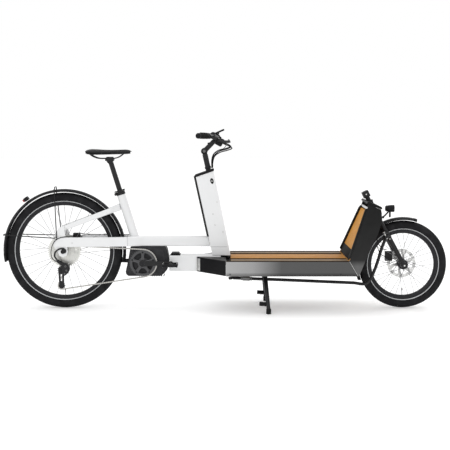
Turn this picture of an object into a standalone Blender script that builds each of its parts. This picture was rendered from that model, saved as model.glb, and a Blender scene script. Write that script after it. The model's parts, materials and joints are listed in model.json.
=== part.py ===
"""Front-loading cargo bicycle with electric drive.

Metres. +X is forward, +Y is the rider's left, +Z is up. The origin is on the ground, midway
between the rear mudguard's tail and the front of the front tyre.
"""

import math

import bmesh
import bpy
from mathutils import Matrix, Vector

# Wheels
REAR_AXLE = Vector((-0.977, 0.0, 0.352))
REAR_RADIUS = 0.352
FRONT_AXLE = Vector((1.084, 0.0, 0.267))
FRONT_RADIUS = 0.267
TYRE_HALF_WIDTH = 0.030
RIM_DEPTH = 0.026
ROTOR_RADIUS = 0.088
AXLE_RADIUS = 0.006
AXLE_BORE = 0.0068
SPOKES_PER_FLANGE = 6
RING_STEPS = 40
REAR_GUARD_RADIUS = 0.374
FRONT_GUARD_RADIUS = 0.288

# Steering
SHAFT_LEAN = math.radians(12.3)
SHAFT_UP = Vector((-math.sin(SHAFT_LEAN), 0.0, math.cos(SHAFT_LEAN)))
SHAFT_FOOT = Vector((0.0398, 0.0, 0.198))
STEM_PIVOT = SHAFT_FOOT + SHAFT_UP * 0.7748
PITMAN_END = Vector((0.036, -0.100, 0.195))
BAR_CLAMP = Vector((-0.046, 0.0, 1.036))
GRIP_INNER = Vector((-0.0885, 0.195, 1.0465))
GRIP_OUTER = Vector((-0.1540, 0.350, 1.0502))
LEVER_HINGE = Vector((-0.036, 0.188, 1.0215))
FORK_LEAN = math.radians(26.0)
FORK_UP = Vector((-math.sin(FORK_LEAN), 0.0, math.cos(FORK_LEAN)))
FORK_FORWARD = Vector((math.cos(FORK_LEAN), 0.0, math.sin(FORK_LEAN)))
FORK_RAKE = 0.018
FORK_FOOT = FRONT_AXLE - FORK_FORWARD * FORK_RAKE
ARM_END = Vector((0.966, -0.112, 0.444))
LEG_Y = 0.066
LAMP_HINGE = Vector((0.962, 0.0, 0.5535))

# Drive
CRANK_AXIS = Vector((-0.498, 0.0, 0.279))
CRANK_LENGTH = 0.170
CHAIN_Y = -0.055
CHAIN_HALF_WIDTH = 0.0038
CHAIN_HALF_HEIGHT = 0.0042
CHAINRING_RADIUS = 0.084
COG_RADIUS = 0.0345
PULLEY_RADIUS = 0.0225
TOOTH_GAP = 0.0006
GUIDE_PULLEY = Vector((-0.994, CHAIN_Y, 0.241))
TENSION_PULLEY = Vector((-0.991, CHAIN_Y, 0.142))

# Seat
SEAT_TUBE_FOOT = Vector((-0.5526, 0.0, 0.4383))
SEAT_TUBE_TOP = Vector((-0.636, 0.0, 0.707))
SEAT_UP = (SEAT_TUBE_TOP - SEAT_TUBE_FOOT).normalized()
POST_RADIUS = 0.0154
POST_TOP = SEAT_TUBE_TOP + SEAT_UP * 0.204
LEVER_PIVOT = SEAT_TUBE_TOP + SEAT_UP * 0.0045 + Vector((-0.026, -0.018, -0.008))

# Steering column
COLUMN_HALF_WIDTH = 0.060
COLUMN_REAR_SLOPE = 0.2179
COVER_FOOT_Z = 0.441
COVER_TOP_Z = 0.806

# Load deck
DECK_HALF_WIDTH = 0.270
DECK_REAR = 0.0063
DECK_TOP = 0.315
DECK_FOOT = 0.227
PANEL = 0.008
NARROWING = 0.393
STAND_PIVOT = Vector((0.237, 0.0, 0.243))

GAP = 0.0003
MERGE = 0.00001

# Colour, roughness and metallic value of each finish
FINISHES = {
    "white_paint": ((0.86, 0.87, 0.87), 0.25, 0.0),
    "grey_metal": ((0.30, 0.30, 0.31), 0.35, 0.8),
    "anthracite": ((0.022, 0.022, 0.024), 0.45, 0.0),
    "black_plastic": ((0.018, 0.018, 0.019), 0.5, 0.0),
    "black_paint": ((0.012, 0.012, 0.013), 0.3, 0.0),
    "rubber": ((0.016, 0.016, 0.016), 0.8, 0.0),
    "silver": ((0.72, 0.71, 0.69), 0.3, 1.0),
    "steel": ((0.45, 0.45, 0.45), 0.35, 1.0),
    "wood": ((0.50, 0.26, 0.075), 0.45, 0.0),
    "lens": ((0.45, 0.02, 0.02), 0.2, 0.0),
}
SIDES = (("right", -1), ("left", 1))


def clear_scene():
    for old in list(bpy.data.objects):
        bpy.data.objects.remove(old)


def make_collection(name):
    collection = bpy.data.collections.new(name)
    bpy.context.scene.collection.children.link(collection)
    return collection


clear_scene()
PARTS = make_collection("cargo_bicycle")
CUTTERS = make_collection("cutters")
BODIES = {}


# ---------------------------------------------------------------- shapes, each one a bmesh

def taken_from(work):
    """The evaluated mesh of a work object, closed, with its faces out. The object is removed."""
    bpy.context.scene.collection.objects.link(work)
    graph = bpy.context.evaluated_depsgraph_get()
    mesh = bpy.data.meshes.new_from_object(work.evaluated_get(graph))
    shape = bmesh.new()
    shape.from_mesh(mesh)
    bpy.data.objects.remove(work)
    bpy.data.meshes.remove(mesh)
    bmesh.ops.remove_doubles(shape, verts=shape.verts, dist=MERGE)
    bmesh.ops.recalc_face_normals(shape, faces=shape.faces)
    return shape


def block(low, high):
    low, high = Vector(low), Vector(high)
    shape = bmesh.new()
    bmesh.ops.create_cube(shape, size=1.0)
    size = high - low
    bmesh.ops.scale(shape, vec=size, verts=shape.verts)
    bmesh.ops.translate(shape, vec=(low + high) / 2, verts=shape.verts)
    return shape


def bar(start, end, radius, end_radius=None, sides=12):
    """A straight round bar between two points."""
    start, end = Vector(start), Vector(end)
    shape = bmesh.new()
    bmesh.ops.create_cone(shape, cap_ends=True, segments=sides, radius1=radius,
                          radius2=radius if end_radius is None else end_radius,
                          depth=(end - start).length)
    turn = Vector((0, 0, 1)).rotation_difference(end - start).to_matrix().to_4x4()
    bmesh.ops.transform(shape, matrix=Matrix.Translation((start + end) / 2) @ turn, verts=shape.verts)
    return shape


def loft(rings):
    """A closed solid through rings of corner points, each ring with the same count."""
    shape = bmesh.new()
    rows = [[shape.verts.new(point) for point in ring] for ring in rings]
    count = len(rows[0])
    for near, far in zip(rows, rows[1:]):
        for k in range(count):
            shape.faces.new((near[k], near[(k + 1) % count], far[(k + 1) % count], far[k]))
    shape.faces.new(reversed(rows[0]))
    shape.faces.new(rows[-1])
    bmesh.ops.recalc_face_normals(shape, faces=shape.faces)
    return shape


def box_ring(x, y_in, y_out, low, high, shear=0.0):
    """Four corners of an upright section; shear moves the top corners along X."""
    return [(x, y_in, low), (x, y_out, low), (x + shear, y_out, high), (x + shear, y_in, high)]


def tube(points, radius, cyclic=False, detail=2):
    """A round wire or tube through a list of points."""
    curve = bpy.data.curves.new("work", "CURVE")
    curve.dimensions = "3D"
    spline = curve.splines.new("POLY")
    spline.points.add(len(points) - 1)
    for target, point in zip(spline.points, points):
        target.co = (point[0], point[1], point[2], 1.0)
    spline.use_cyclic_u = cyclic
    curve.bevel_depth = radius
    curve.bevel_resolution = detail
    curve.use_fill_caps = True
    return taken_from(bpy.data.objects.new("work", curve))


def smooth_route(points, steps=4):
    """Points of a smooth curve through the given ones."""
    knots = [Vector(p) for p in points]
    knots = [knots[0] * 2 - knots[1]] + knots + [knots[-1] * 2 - knots[-2]]
    route = []
    for a, b, c, d in zip(knots, knots[1:], knots[2:], knots[3:]):
        for k in range(steps):
            t = k / steps
            route.append(0.5 * (2 * b + (c - a) * t + (2 * a - 5 * b + 4 * c - d) * t ** 2
                                + (3 * b - a - 3 * c + d) * t ** 3))
    route.append(knots[-2])
    return route


def plate(loops, low_y, high_y):
    """A flat outline in the XZ plane, its first loop the edge and the others holes."""
    curve = bpy.data.curves.new("work", "CURVE")
    curve.dimensions = "2D"
    curve.fill_mode = "BOTH"
    curve.extrude = (high_y - low_y) / 2
    for loop in loops:
        spline = curve.splines.new("POLY")
        spline.points.add(len(loop) - 1)
        for target, point in zip(spline.points, loop):
            target.co = (point[0], point[1], 0.0, 1.0)
        spline.use_cyclic_u = True
    shape = taken_from(bpy.data.objects.new("work", curve))
    bmesh.ops.transform(shape, matrix=Matrix.Rotation(math.pi / 2, 4, "X"), verts=shape.verts)
    bmesh.ops.translate(shape, vec=(0, (low_y + high_y) / 2, 0), verts=shape.verts)
    return shape


def turned(profile, steps, angle=2 * math.pi):
    """A closed profile of (radius, height) points turned about Z."""
    mesh = bpy.data.meshes.new("work")
    count = len(profile)
    mesh.from_pydata([(r, 0.0, h) for r, h in profile], [(k, (k + 1) % count) for k in range(count)], [])
    work = bpy.data.objects.new("work", mesh)
    screw = work.modifiers.new("turn", "SCREW")
    screw.angle = angle
    screw.steps = steps
    screw.render_steps = steps
    screw.use_merge_vertices = abs(angle - 2 * math.pi) < 0.001
    screw.merge_threshold = MERGE
    return taken_from(work)


def wheelwise(shape, centre, start=0.0):
    """Lays a shape turned about Z along the Y axis at a centre, angles counted from +X towards +Z."""
    spin = Matrix.Rotation(-start, 4, "Y") @ Matrix.Rotation(math.pi / 2, 4, "X")
    bmesh.ops.transform(shape, matrix=Matrix.Translation(centre) @ spin, verts=shape.verts)
    return shape


def arc(profile, centre, start, end, steps):
    """A closed profile swept about Y from one angle to another, its ends capped."""
    shape = turned(profile, steps, end - start)
    wheelwise(shape, centre, start)
    bmesh.ops.holes_fill(shape, edges=[e for e in shape.edges if e.is_boundary], sides=0)
    bmesh.ops.recalc_face_normals(shape, faces=shape.faces)
    return shape


def circle(centre, radius, count):
    steps = [2 * math.pi * k / count for k in range(count)]
    return [(centre[0] + radius * math.cos(a), centre[-1] + radius * math.sin(a)) for a in steps]


def window(centre, inner, outer, middle, half_angle, steps=3):
    """A sector-shaped hole of a wheel or ring, as a loop of (x, z) points."""
    angles = [middle + half_angle * (2 * k / steps - 1) for k in range(steps + 1)]
    loop = [(centre.x + outer * math.cos(a), centre.z + outer * math.sin(a)) for a in angles]
    loop += [(centre.x + inner * math.cos(a), centre.z + inner * math.sin(a)) for a in reversed(angles)]
    return loop


def belt(pulleys, half_height, steps=8):
    """Outer and inner loops of a belt round (centre, radius, sense) pulleys, sense +1 for leftward turns."""
    count = len(pulleys)
    headings = []
    for k in range(count):
        (a, ra, sa), (b, rb, sb) = pulleys[k], pulleys[(k + 1) % count]
        reach = Vector((b.x - a.x, b.z - a.z))
        headings.append(math.atan2(reach.y, reach.x) - math.asin((rb * sb - ra * sa) / reach.length))
    loops = ([], [])
    for k in range(count):
        centre, radius, sense = pulleys[k]
        first, last = headings[k - 1], headings[k]
        while (last - first) * sense < 0:
            last += 2 * math.pi * sense
        for j in range(steps + 1):
            heading = first + (last - first) * j / steps
            normal = Vector((-math.sin(heading), math.cos(heading)))
            for loop, offset in zip(loops, (half_height, -half_height)):
                loop.append((centre.x - normal.x * (radius * sense - offset),
                             centre.z - normal.y * (radius * sense - offset)))
    return loops


def side_of(shape, side):
    """The shape itself for the left side (+1), its mirror image for the right (-1)."""
    if side < 0:
        bmesh.ops.scale(shape, vec=(1, -1, 1), verts=shape.verts)
        bmesh.ops.reverse_faces(shape, faces=shape.faces)
    return shape


def tilted(shape, centre, degrees, axis="Y"):
    turn = Matrix.Rotation(math.radians(degrees), 4, axis)
    place = Matrix.Translation(centre) @ turn @ Matrix.Translation(-Vector(centre))
    bmesh.ops.transform(shape, matrix=place, verts=shape.verts)
    return shape


# ---------------------------------------------------------------- objects

def as_object(name, shape, collection):
    mesh = bpy.data.meshes.new(name)
    shape.to_mesh(mesh)
    shape.free()
    made = bpy.data.objects.new(name, mesh)
    collection.objects.link(made)
    return made


def body(name, place, axis=(0, 0, 1), parent=None):
    """An empty on a joint's axis; the pieces of a moving body are its children."""
    pivot = bpy.data.objects.new(name + "_pivot", None)
    PARTS.objects.link(pivot)
    turn = Vector((0, 0, 1)).rotation_difference(Vector(axis)).to_matrix().to_4x4()
    world = Matrix.Translation(place) @ turn
    if parent:
        pivot.parent = BODIES[parent][0]
        pivot.matrix_parent_inverse = BODIES[parent][1].inverted()
    pivot.matrix_basis = world
    BODIES[name] = (pivot, world)


def add(name, base, material, owner=None, joined=(), cut=(), soften=0.0, flat=False):
    """One named piece: a base shape, less or more other shapes, on its body's pivot."""
    made = as_object(name, base, PARTS)
    if soften:
        bevel = made.modifiers.new("soften", "BEVEL")
        bevel.width = soften
        bevel.segments = 1
        bevel.angle_limit = math.radians(40)
    for kind, shapes in (("UNION", joined), ("DIFFERENCE", cut)):
        for k, shape in enumerate(shapes):
            tool = as_object("%s_%s_%d" % (name, kind.lower(), k), shape, CUTTERS)
            tool.hide_render = True
            tool.display_type = "WIRE"
            step = made.modifiers.new(kind.lower(), "BOOLEAN")
            step.operation = kind
            step.solver = "EXACT"
            step.object = tool
    if not flat:
        made.data.shade_smooth()
        made.data.set_sharp_from_angle(angle=math.radians(35))
    own = bpy.data.materials.new(name)
    own.use_nodes = True
    shader = own.node_tree.nodes["Principled BSDF"]
    color, roughness, metallic = FINISHES[material]
    shader.inputs["Base Color"].default_value = (*color, 1.0)
    shader.inputs["Roughness"].default_value = roughness
    shader.inputs["Metallic"].default_value = metallic
    made.data.materials.append(own)
    if owner:
        pivot, world = BODIES[owner]
        made.parent = pivot
        made.matrix_parent_inverse = world.inverted()
    return made


# ---------------------------------------------------------------- main frame

def white_rear_x(z):
    """The slanting rear edge of the steering column's white shell."""
    return -0.1005 - (z - 0.438) * COLUMN_REAR_SLOPE


def make_main_beam():
    rings = [box_ring(-0.590, -0.064, 0.064, 0.381, 0.438),
             box_ring(-0.500, -0.038, 0.038, 0.381, 0.438),
             box_ring(white_rear_x(0.381) - GAP, -0.038, 0.038, 0.381, 0.438,
                      white_rear_x(0.438) - white_rear_x(0.381))]
    hollow = block((-0.470, -0.034, 0.385), (0.0, 0.034, 0.434))
    add("main_beam", loft(rings), "white_paint", cut=[hollow], soften=0.004)


def make_chainstay(name, side):
    low, high = 0.3815, 0.4378
    rings = [box_ring(-0.5903, 0.041, 0.063, low, high), box_ring(-0.700, 0.056, 0.077, low, high),
             box_ring(-0.900, 0.074, 0.090, low, high), box_ring(-1.028, 0.074, 0.090, low, high)]
    edge = [(-1.033, 0.385), (-1.030, 0.440), (-1.001, 0.497), (-0.9668, 0.511), (-0.9668, 0.470),
            (-0.955, 0.430), (-0.948, 0.350), (-0.955, 0.328), (-0.977, 0.318), (-0.999, 0.328),
            (-1.010, 0.352)]
    joined = [side_of(plate([edge], 0.0765, 0.0875), side)]
    cut = []
    if side < 0:
        joined.append(bar(REAR_AXLE + Vector((0, -0.093, 0)), REAR_AXLE + Vector((0, 0.096, 0)), AXLE_RADIUS))
    else:
        cut.append(bar(REAR_AXLE + Vector((0, 0.06, 0)), REAR_AXLE + Vector((0, 0.11, 0)), AXLE_BORE))
    add("chainstay_" + name, side_of(loft(rings), side), "white_paint", joined=joined, cut=cut)


def make_seatstay(name, side):
    rings = [[(-0.966, 0.074, 0.480), (-0.966, 0.090, 0.480), (-0.966, 0.090, 0.5105),
              (-0.966, 0.074, 0.5105)],
             [(-0.688, 0.038, 0.581), (-0.688, 0.055, 0.581), (-0.688, 0.055, 0.6165),
              (-0.688, 0.038, 0.6165)],
             [(-0.631, 0.004, 0.598), (-0.631, 0.022, 0.598), (-0.6435, 0.022, 0.638),
              (-0.6435, 0.004, 0.638)]]
    add("seatstay_" + name, side_of(loft(rings), side), "white_paint", soften=0.003)


def oval(centre, along, half_depth, half_width, count=16):
    steps = [2 * math.pi * k / count for k in range(count)]
    return [centre + along * (half_depth * math.cos(a)) + Vector((0, half_width * math.sin(a), 0))
            for a in steps]


def make_seat_tube():
    across = Vector((SEAT_UP.z, 0, -SEAT_UP.x))
    rings = [oval(SEAT_TUBE_FOOT, Vector((1, 0, 0)), 0.0272, 0.024),
             oval(SEAT_TUBE_TOP, across, 0.026, 0.024)]
    collar = [oval(SEAT_TUBE_TOP + SEAT_UP * d, across, 0.0285, 0.0265) for d in (-0.016, 0.003)]
    bore = bar(SEAT_TUBE_TOP - SEAT_UP * 0.255, SEAT_TUBE_TOP + SEAT_UP * 0.05, 0.0159, sides=16)
    lug = bar(LEVER_PIVOT - SEAT_UP * 0.0165, LEVER_PIVOT - SEAT_UP * 0.001, 0.007, sides=10)
    add("seat_tube", loft(rings), "white_paint", joined=[loft(collar), lug], cut=[bore])


def make_column():
    outline = [(white_rear_x(0.8099), 0.8099), (-0.072, 0.847), (0.033, 0.3257),
               (white_rear_x(0.3257), 0.3257)]
    pocket = [(-0.25, 0.455), (0.0008, 0.455), (-0.0757, 0.8354), (-0.25, 0.7764)]
    passage = bar(SHAFT_FOOT - SHAFT_UP * 0.05, STEM_PIVOT, 0.0192, sides=16)
    add("column_shell", plate([outline], -COLUMN_HALF_WIDTH, COLUMN_HALF_WIDTH), "white_paint",
        cut=[plate([pocket], -0.0555, 0.0555), passage], soften=0.003)


def make_lower_box():
    hollow = block((-0.334, -0.056, 0.234), (0.0, 0.056, 0.321))
    add("lower_box", block((-0.338, -0.060, 0.230), (-0.025, 0.060, 0.325)), "white_paint", cut=[hollow],
        soften=0.004)


def make_motor():
    outline = [(-0.573, 0.3802), (-0.362, 0.3802), (-0.350, 0.355), (-0.340, 0.300), (-0.342, 0.262),
               (-0.352, 0.236), (-0.370, 0.214), (-0.392, 0.198), (-0.588, 0.198), (-0.602, 0.208),
               (-0.604, 0.226), (-0.590, 0.288)]
    bore = bar(CRANK_AXIS + Vector((0, -0.1, 0)), CRANK_AXIS + Vector((0, 0.1, 0)), 0.0125, sides=12)
    add("motor", plate([outline], -0.045, 0.060), "black_plastic", cut=[bore], soften=0.006)


def make_head_tube():
    spine = [[(0.750, -0.030, 0.300), (0.750, 0.030, 0.300), (0.782, 0.030, 0.300), (0.782, -0.030, 0.300)],
             [(0.8665, -0.024, 0.600), (0.8665, 0.024, 0.600), (0.902, 0.024, 0.600), (0.902, -0.024, 0.600)]]
    barrel = bar(FORK_FOOT + FORK_UP * 0.342, FORK_FOOT + FORK_UP * 0.440, 0.0225, sides=16)
    bore = bar(FORK_FOOT + FORK_UP * 0.30, FORK_FOOT + FORK_UP * 0.50, 0.0152, sides=16)
    add("head_tube", barrel, "black_paint", joined=[loft(spine)], cut=[bore])


# ---------------------------------------------------------------- load deck and bulkhead

def make_shoulder(name, side):
    rings = [box_ring(-0.169, 0.0606, 0.070, 0.230, 0.319),
             box_ring(DECK_REAR - 0.0008, 0.0606, DECK_HALF_WIDTH, 0.228, 0.317)]
    inside = [box_ring(-0.120, 0.0646, 0.116, 0.234, 0.315), box_ring(0.050, 0.0646, 0.314, 0.232, 0.313)]
    add("deck_shoulder_" + name, side_of(loft(rings), side), "black_paint", cut=[side_of(loft(inside), side)],
        soften=0.002)


def make_deck_side(name, side):
    outline = [(DECK_REAR, DECK_FOOT), (0.7815, DECK_FOOT), (0.7297, 0.3148), (DECK_REAR, 0.3148)]
    shape = plate([outline], DECK_HALF_WIDTH - PANEL, DECK_HALF_WIDTH)
    add("deck_side_" + name, side_of(shape, side), "grey_metal", soften=0.001)


def make_deck_frame():
    inner = DECK_HALF_WIDTH - PANEL - GAP
    spine = block((0.055, -0.040, 0.262), (0.7485, 0.040, 0.3025))
    joined = [block((x, -inner, 0.280), (x + 0.030, inner, 0.3022)) for x in (0.100, 0.300, 0.500, 0.700)]
    for side in (-1, 1):
        edge = sorted((side * (inner - 0.026), side * (inner - 0.0002)))
        joined.append(block((DECK_REAR + 0.002, edge[0], 0.270), (0.742, edge[1], 0.3020)))
        rail = sorted((side * 0.030, side * (inner - 0.0004)))
        joined.append(block((DECK_REAR + 0.001, rail[0], 0.275), (0.0298, rail[1], 0.3018)))
        ear = sorted((side * 0.046, side * 0.052))
        lug = [(0.215, 0.298), (0.215, 0.240), (0.228, 0.2268), (0.246, 0.2268), (0.259, 0.240),
               (0.259, 0.298)]
        joined.append(plate([lug], *ear))
        joined.append(block((0.214, min(0, side * 0.0525), 0.2845), (0.260, max(0, side * 0.0525), 0.3000)))
    hole = bar(STAND_PIVOT + Vector((0, -0.08, 0)), STAND_PIVOT + Vector((0, 0.08, 0)), 0.0138, sides=12)
    channel = block((0.059, -0.036, 0.250), (0.745, 0.036, 0.276))
    add("deck_frame", spine, "black_paint", joined=joined, cut=[hole, channel])


def make_deck_board():
    half = DECK_HALF_WIDTH - PANEL - GAP
    low, high, groove = 0.303, DECK_TOP, 0.309
    edge = [(-half, low), (half, low)]
    for y, z in ((half, high), (0.143, high), (0.143, groove), (0.115, groove), (0.115, high)):
        edge.append((y, z))
    for y, z in ((-0.115, high), (-0.115, groove), (-0.143, groove), (-0.143, high), (-half, high)):
        edge.append((y, z))
    add("deck_board", loft([[(x, y, z) for y, z in edge] for x in (0.034, 0.7275)]), "wood", flat=True)


def panel_y(z):
    """Outer face of a bulkhead side panel: upright beside the deck, leaning in above it."""
    return DECK_HALF_WIDTH - max(0.0, z - DECK_TOP) * NARROWING


def make_bulkhead_side(name, side):
    lower = [(0.7300, DECK_TOP), (0.7822, 0.2275), (0.794, 0.245), (0.822, DECK_TOP)]
    upper = [(0.7300, DECK_TOP), (0.822, DECK_TOP), (0.850, 0.370), (0.902, 0.466), (0.930, 0.540),
             (0.931, 0.592), (0.928, 0.6115), (0.854, 0.6435), (0.848, 0.621), (0.757, 0.381)]
    shape = bmesh.new()
    outer, inner = {}, {}
    for x, z in lower + upper:
        outer[(x, z)] = outer.get((x, z)) or shape.verts.new((x, panel_y(z), z))
        inner[(x, z)] = inner.get((x, z)) or shape.verts.new((x, panel_y(z) - PANEL, z))
    for face in (lower, upper):
        shape.faces.new([outer[p] for p in face])
        shape.faces.new([inner[p] for p in reversed(face)])
    loop = [lower[0], lower[1], lower[2], lower[3]] + upper[2:]
    for near, far in zip(loop, loop[1:] + loop[:1]):
        shape.faces.new((outer[near], outer[far], inner[far], inner[near]))
    bmesh.ops.recalc_face_normals(shape, faces=shape.faces)
    add("bulkhead_side_" + name, side_of(shape, side), "anthracite", flat=True)


def make_bulkhead_board():
    lean = 0.3913
    rings = []
    for z in (0.3168, 0.602):
        half = panel_y(z) - PANEL - 0.0015
        x = 0.7325 + (z - 0.317) * lean
        rings.append([(x, -half, z), (x, half, z), (x + 0.0125, half, z), (x + 0.0125, -half, z)])
    add("bulkhead_board", loft(rings), "wood", flat=True)


def make_bulkhead_cap():
    outline = [(0.846, 0.6475), (0.929, 0.6118), (0.936, 0.614), (0.936, 0.6215), (0.932, 0.6265),
               (0.856, 0.6595), (0.848, 0.6575)]
    hole = bar(FORK_FOOT + FORK_UP * 0.35, FORK_FOOT + FORK_UP * 0.50, 0.0245, sides=16)
    add("bulkhead_cap", plate([outline], -0.144, 0.144), "anthracite", cut=[hole], soften=0.002)


# ---------------------------------------------------------------- wheels

def make_wheel(end, axle, radius, owner, hub_half, flange_y, rotor_y, rotor_radius):
    middle = radius - TYRE_HALF_WIDTH
    wall = [math.radians(a) for a in (35, 90, 140)]
    half = [(middle + TYRE_HALF_WIDTH * math.cos(a), TYRE_HALF_WIDTH * math.sin(a)) for a in wall]
    section = [(r, -w) for r, w in reversed(half)] + [(radius, -0.007), (radius, 0.007)] + half
    add(end + "_tyre", wheelwise(turned(section, RING_STEPS), axle), "rubber", owner)

    seat = half[-1][0] - 0.0006
    section = [(seat, -0.0165), (seat, 0.0165), (seat - RIM_DEPTH, 0.012), (seat - RIM_DEPTH, -0.012)]
    add(end + "_rim", wheelwise(turned(section, RING_STEPS), axle), "black_paint", owner)

    low, high = hub_half
    body_radius, flange = 0.017, 0.029
    core = AXLE_BORE / 2
    profile = [(core, low), (0.014, low), (0.014, flange_y[0] - 0.003), (flange, flange_y[0] - 0.003),
               (flange, flange_y[0] + 0.001), (body_radius, flange_y[0] + 0.005),
               (body_radius, flange_y[1] - 0.005), (flange, flange_y[1] - 0.001),
               (flange, flange_y[1] + 0.003), (0.014, flange_y[1] + 0.003), (0.014, high), (core, high)]
    hub = wheelwise(turned([(r, -y) for r, y in profile], 16), axle)
    spokes = []
    for k in range(2 * SPOKES_PER_FLANGE):
        flange_side = k % 2
        lead = 1 if flange_side else -1
        root = math.radians(360.0 / (2 * SPOKES_PER_FLANGE) * k)
        tip = root + lead * math.radians(38)
        y = flange_y[flange_side]
        start = axle + Vector((0.0255 * math.cos(root), y, 0.0255 * math.sin(root)))
        reach = seat - RIM_DEPTH - 0.0022
        stop = axle + Vector((reach * math.cos(tip), 0.15 * y, reach * math.sin(tip)))
        spokes.append(bar(start, stop, 0.0017, sides=4))
    windows = [window(axle, 0.030, rotor_radius - 0.016, 2 * math.pi * k / 6, math.radians(22))
               for k in range(6)]
    rotor = plate([circle(axle, rotor_radius, 24)] + windows, rotor_y - 0.001, rotor_y + 0.001)
    cut = [bar(axle + Vector((0, low - 0.01, 0)), axle + Vector((0, high + 0.01, 0)), AXLE_BORE, sides=14)]
    add(end + "_hub", hub, "steel", owner, joined=[rotor] + spokes, cut=cut)


def make_mudguard(name, centre, radius, start, end, steps, owner=None):
    outer, half, skin = radius, 0.034, 0.0025
    section = [(outer - 0.014, -half), (outer, -0.024), (outer, 0.024), (outer - 0.014, half),
               (outer - 0.014 - skin, half - skin / 2), (outer - skin, 0.0225), (outer - skin, -0.0225),
               (outer - 0.014 - skin, -half + skin / 2)]
    add(name, arc(section, centre, math.radians(start), math.radians(end), steps), "black_plastic", owner)


def make_mudguard_stays():
    """One closed wire: from the right dropout over the guard's top, and round its tail."""
    wide, hip = 0.0385, 0.0985
    top, tail = (-1.030, 0.7385), (-1.3435, 0.4475)
    foot = (-1.012, 0.436)
    over = [(foot[0], -hip, foot[1]), (top[0], -wide - 0.004, 0.700), (top[0], -wide, top[1] - 0.012),
            (top[0], -wide + 0.010, top[1] - 0.001), (top[0], wide - 0.010, top[1] - 0.001),
            (top[0], wide, top[1] - 0.012), (top[0], wide + 0.004, 0.700), (foot[0], hip, foot[1])]
    back = [(foot[0] - 0.010, hip, foot[1] - 0.001), (-1.310, wide + 0.004, 0.4465),
            (tail[0] + 0.003, wide, tail[1]), (tail[0] - 0.0045, wide - 0.010, tail[1]),
            (tail[0] - 0.0045, -wide + 0.010, tail[1]), (tail[0] + 0.003, -wide, tail[1]),
            (-1.310, -wide - 0.004, 0.4465), (foot[0] - 0.010, -hip, foot[1] - 0.001)]
    add("mudguard_stays", tube(over + back, 0.0024, cyclic=True), "black_paint")


def make_rear_light():
    angle = math.radians(127)
    reach = REAR_GUARD_RADIUS + 0.0145
    centre = REAR_AXLE + Vector((reach * math.cos(angle), 0, reach * math.sin(angle)))
    shape = block(centre - Vector((0.018, 0.026, 0.011)), centre + Vector((0.018, 0.026, 0.011)))
    add("rear_light", tilted(shape, centre, 90 - math.degrees(angle)), "lens", soften=0.004)


# ---------------------------------------------------------------- drive

def make_chainring_and_cranks():
    windows = [window(CRANK_AXIS, 0.030, 0.062, math.radians(72 * k + 54), math.radians(27))
               for k in range(5)]
    edge = circle(CRANK_AXIS, CHAINRING_RADIUS - CHAIN_HALF_HEIGHT - 0.0024, 32)
    ring = plate([edge] + windows, CHAIN_Y - 0.002, CHAIN_Y + 0.002)
    hub = bar(CRANK_AXIS + Vector((0, -0.082, 0)), CRANK_AXIS + Vector((0, -0.0475, 0)), 0.020, sides=12)
    spindle = bar(CRANK_AXIS + Vector((0, -0.060, 0)), CRANK_AXIS + Vector((0, 0.0628, 0)), 0.0118, sides=12)
    boss = CRANK_AXIS + Vector((CRANK_LENGTH, 0, 0))
    arm = loft([[(CRANK_AXIS.x + d, -0.067, CRANK_AXIS.z - h), (CRANK_AXIS.x + d, -0.081, CRANK_AXIS.z - h),
                 (CRANK_AXIS.x + d, -0.081, CRANK_AXIS.z + h), (CRANK_AXIS.x + d, -0.067, CRANK_AXIS.z + h)]
                for d, h in ((0.0, 0.017), (CRANK_LENGTH, 0.011))])
    eye = bar(boss + Vector((0, -0.0812, 0)), boss + Vector((0, -0.0668, 0)), 0.014, sides=14)
    bore = bar(boss + Vector((0, -0.12, 0)), boss + Vector((0, -0.05, 0)), 0.0068, sides=14)
    add("crankset", ring, "black_paint", "crank", joined=[hub, spindle, arm, eye], cut=[bore])

    back = CRANK_AXIS - Vector((CRANK_LENGTH, 0, 0))
    arm = loft([[(CRANK_AXIS.x - d, 0.0635, CRANK_AXIS.z - h), (CRANK_AXIS.x - d, 0.078, CRANK_AXIS.z - h),
                 (CRANK_AXIS.x - d, 0.078, CRANK_AXIS.z + h), (CRANK_AXIS.x - d, 0.0635, CRANK_AXIS.z + h)]
                for d, h in ((-0.004, 0.017), (CRANK_LENGTH, 0.011))])
    eye = bar(back + Vector((0, 0.0632, 0)), back + Vector((0, 0.0782, 0)), 0.014, sides=14)
    bore = bar(back + Vector((0, 0.04, 0)), back + Vector((0, 0.10, 0)), 0.0068, sides=14)
    add("crank_left", arm, "black_paint", "crank", joined=[eye], cut=[bore])


def make_pedal(name, side, centre):
    """A platform with two bars and an axle that turns in the crank's eye."""
    inner, outer = 0.092, 0.186
    frame = block(centre + Vector((-0.045, inner, -0.010)), centre + Vector((0.045, outer, 0.010)))
    slots = [block(centre + Vector((x, inner + 0.014, -0.05)),
                   centre + Vector((x + 0.024, outer - 0.014, 0.05)))
             for x in (-0.036, 0.012)]
    axle = bar(centre + Vector((0, 0.066, 0)), centre + Vector((0, inner + 0.02, 0)), 0.0063, sides=12)
    shapes = [side_of(shape, side) for shape in [frame, axle] + slots]
    add("pedal_" + name, shapes[0], "black_plastic", "pedal_" + name, joined=[shapes[1]], cut=shapes[2:])


def make_cassette():
    """Sprockets from the largest to the smallest, the chain's own one just inside it, then the lock ring."""
    bore, start = 0.0150, -0.022
    under_chain = COG_RADIUS - CHAIN_HALF_HEIGHT - TOOTH_GAP
    profile = [(bore, start)]
    near = start
    for radius, far in ((0.101, -0.0265), (0.082, -0.0335), (0.064, -0.0410), (0.046, -0.0500),
                        (under_chain, -0.0600), (0.024, -0.0650)):
        profile += [(radius, near), (radius, far)]
        near = far
    profile.append((bore, near))
    add("cassette", wheelwise(turned([(r, -y) for r, y in profile], 24), REAR_AXLE), "silver", "cassette")


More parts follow.
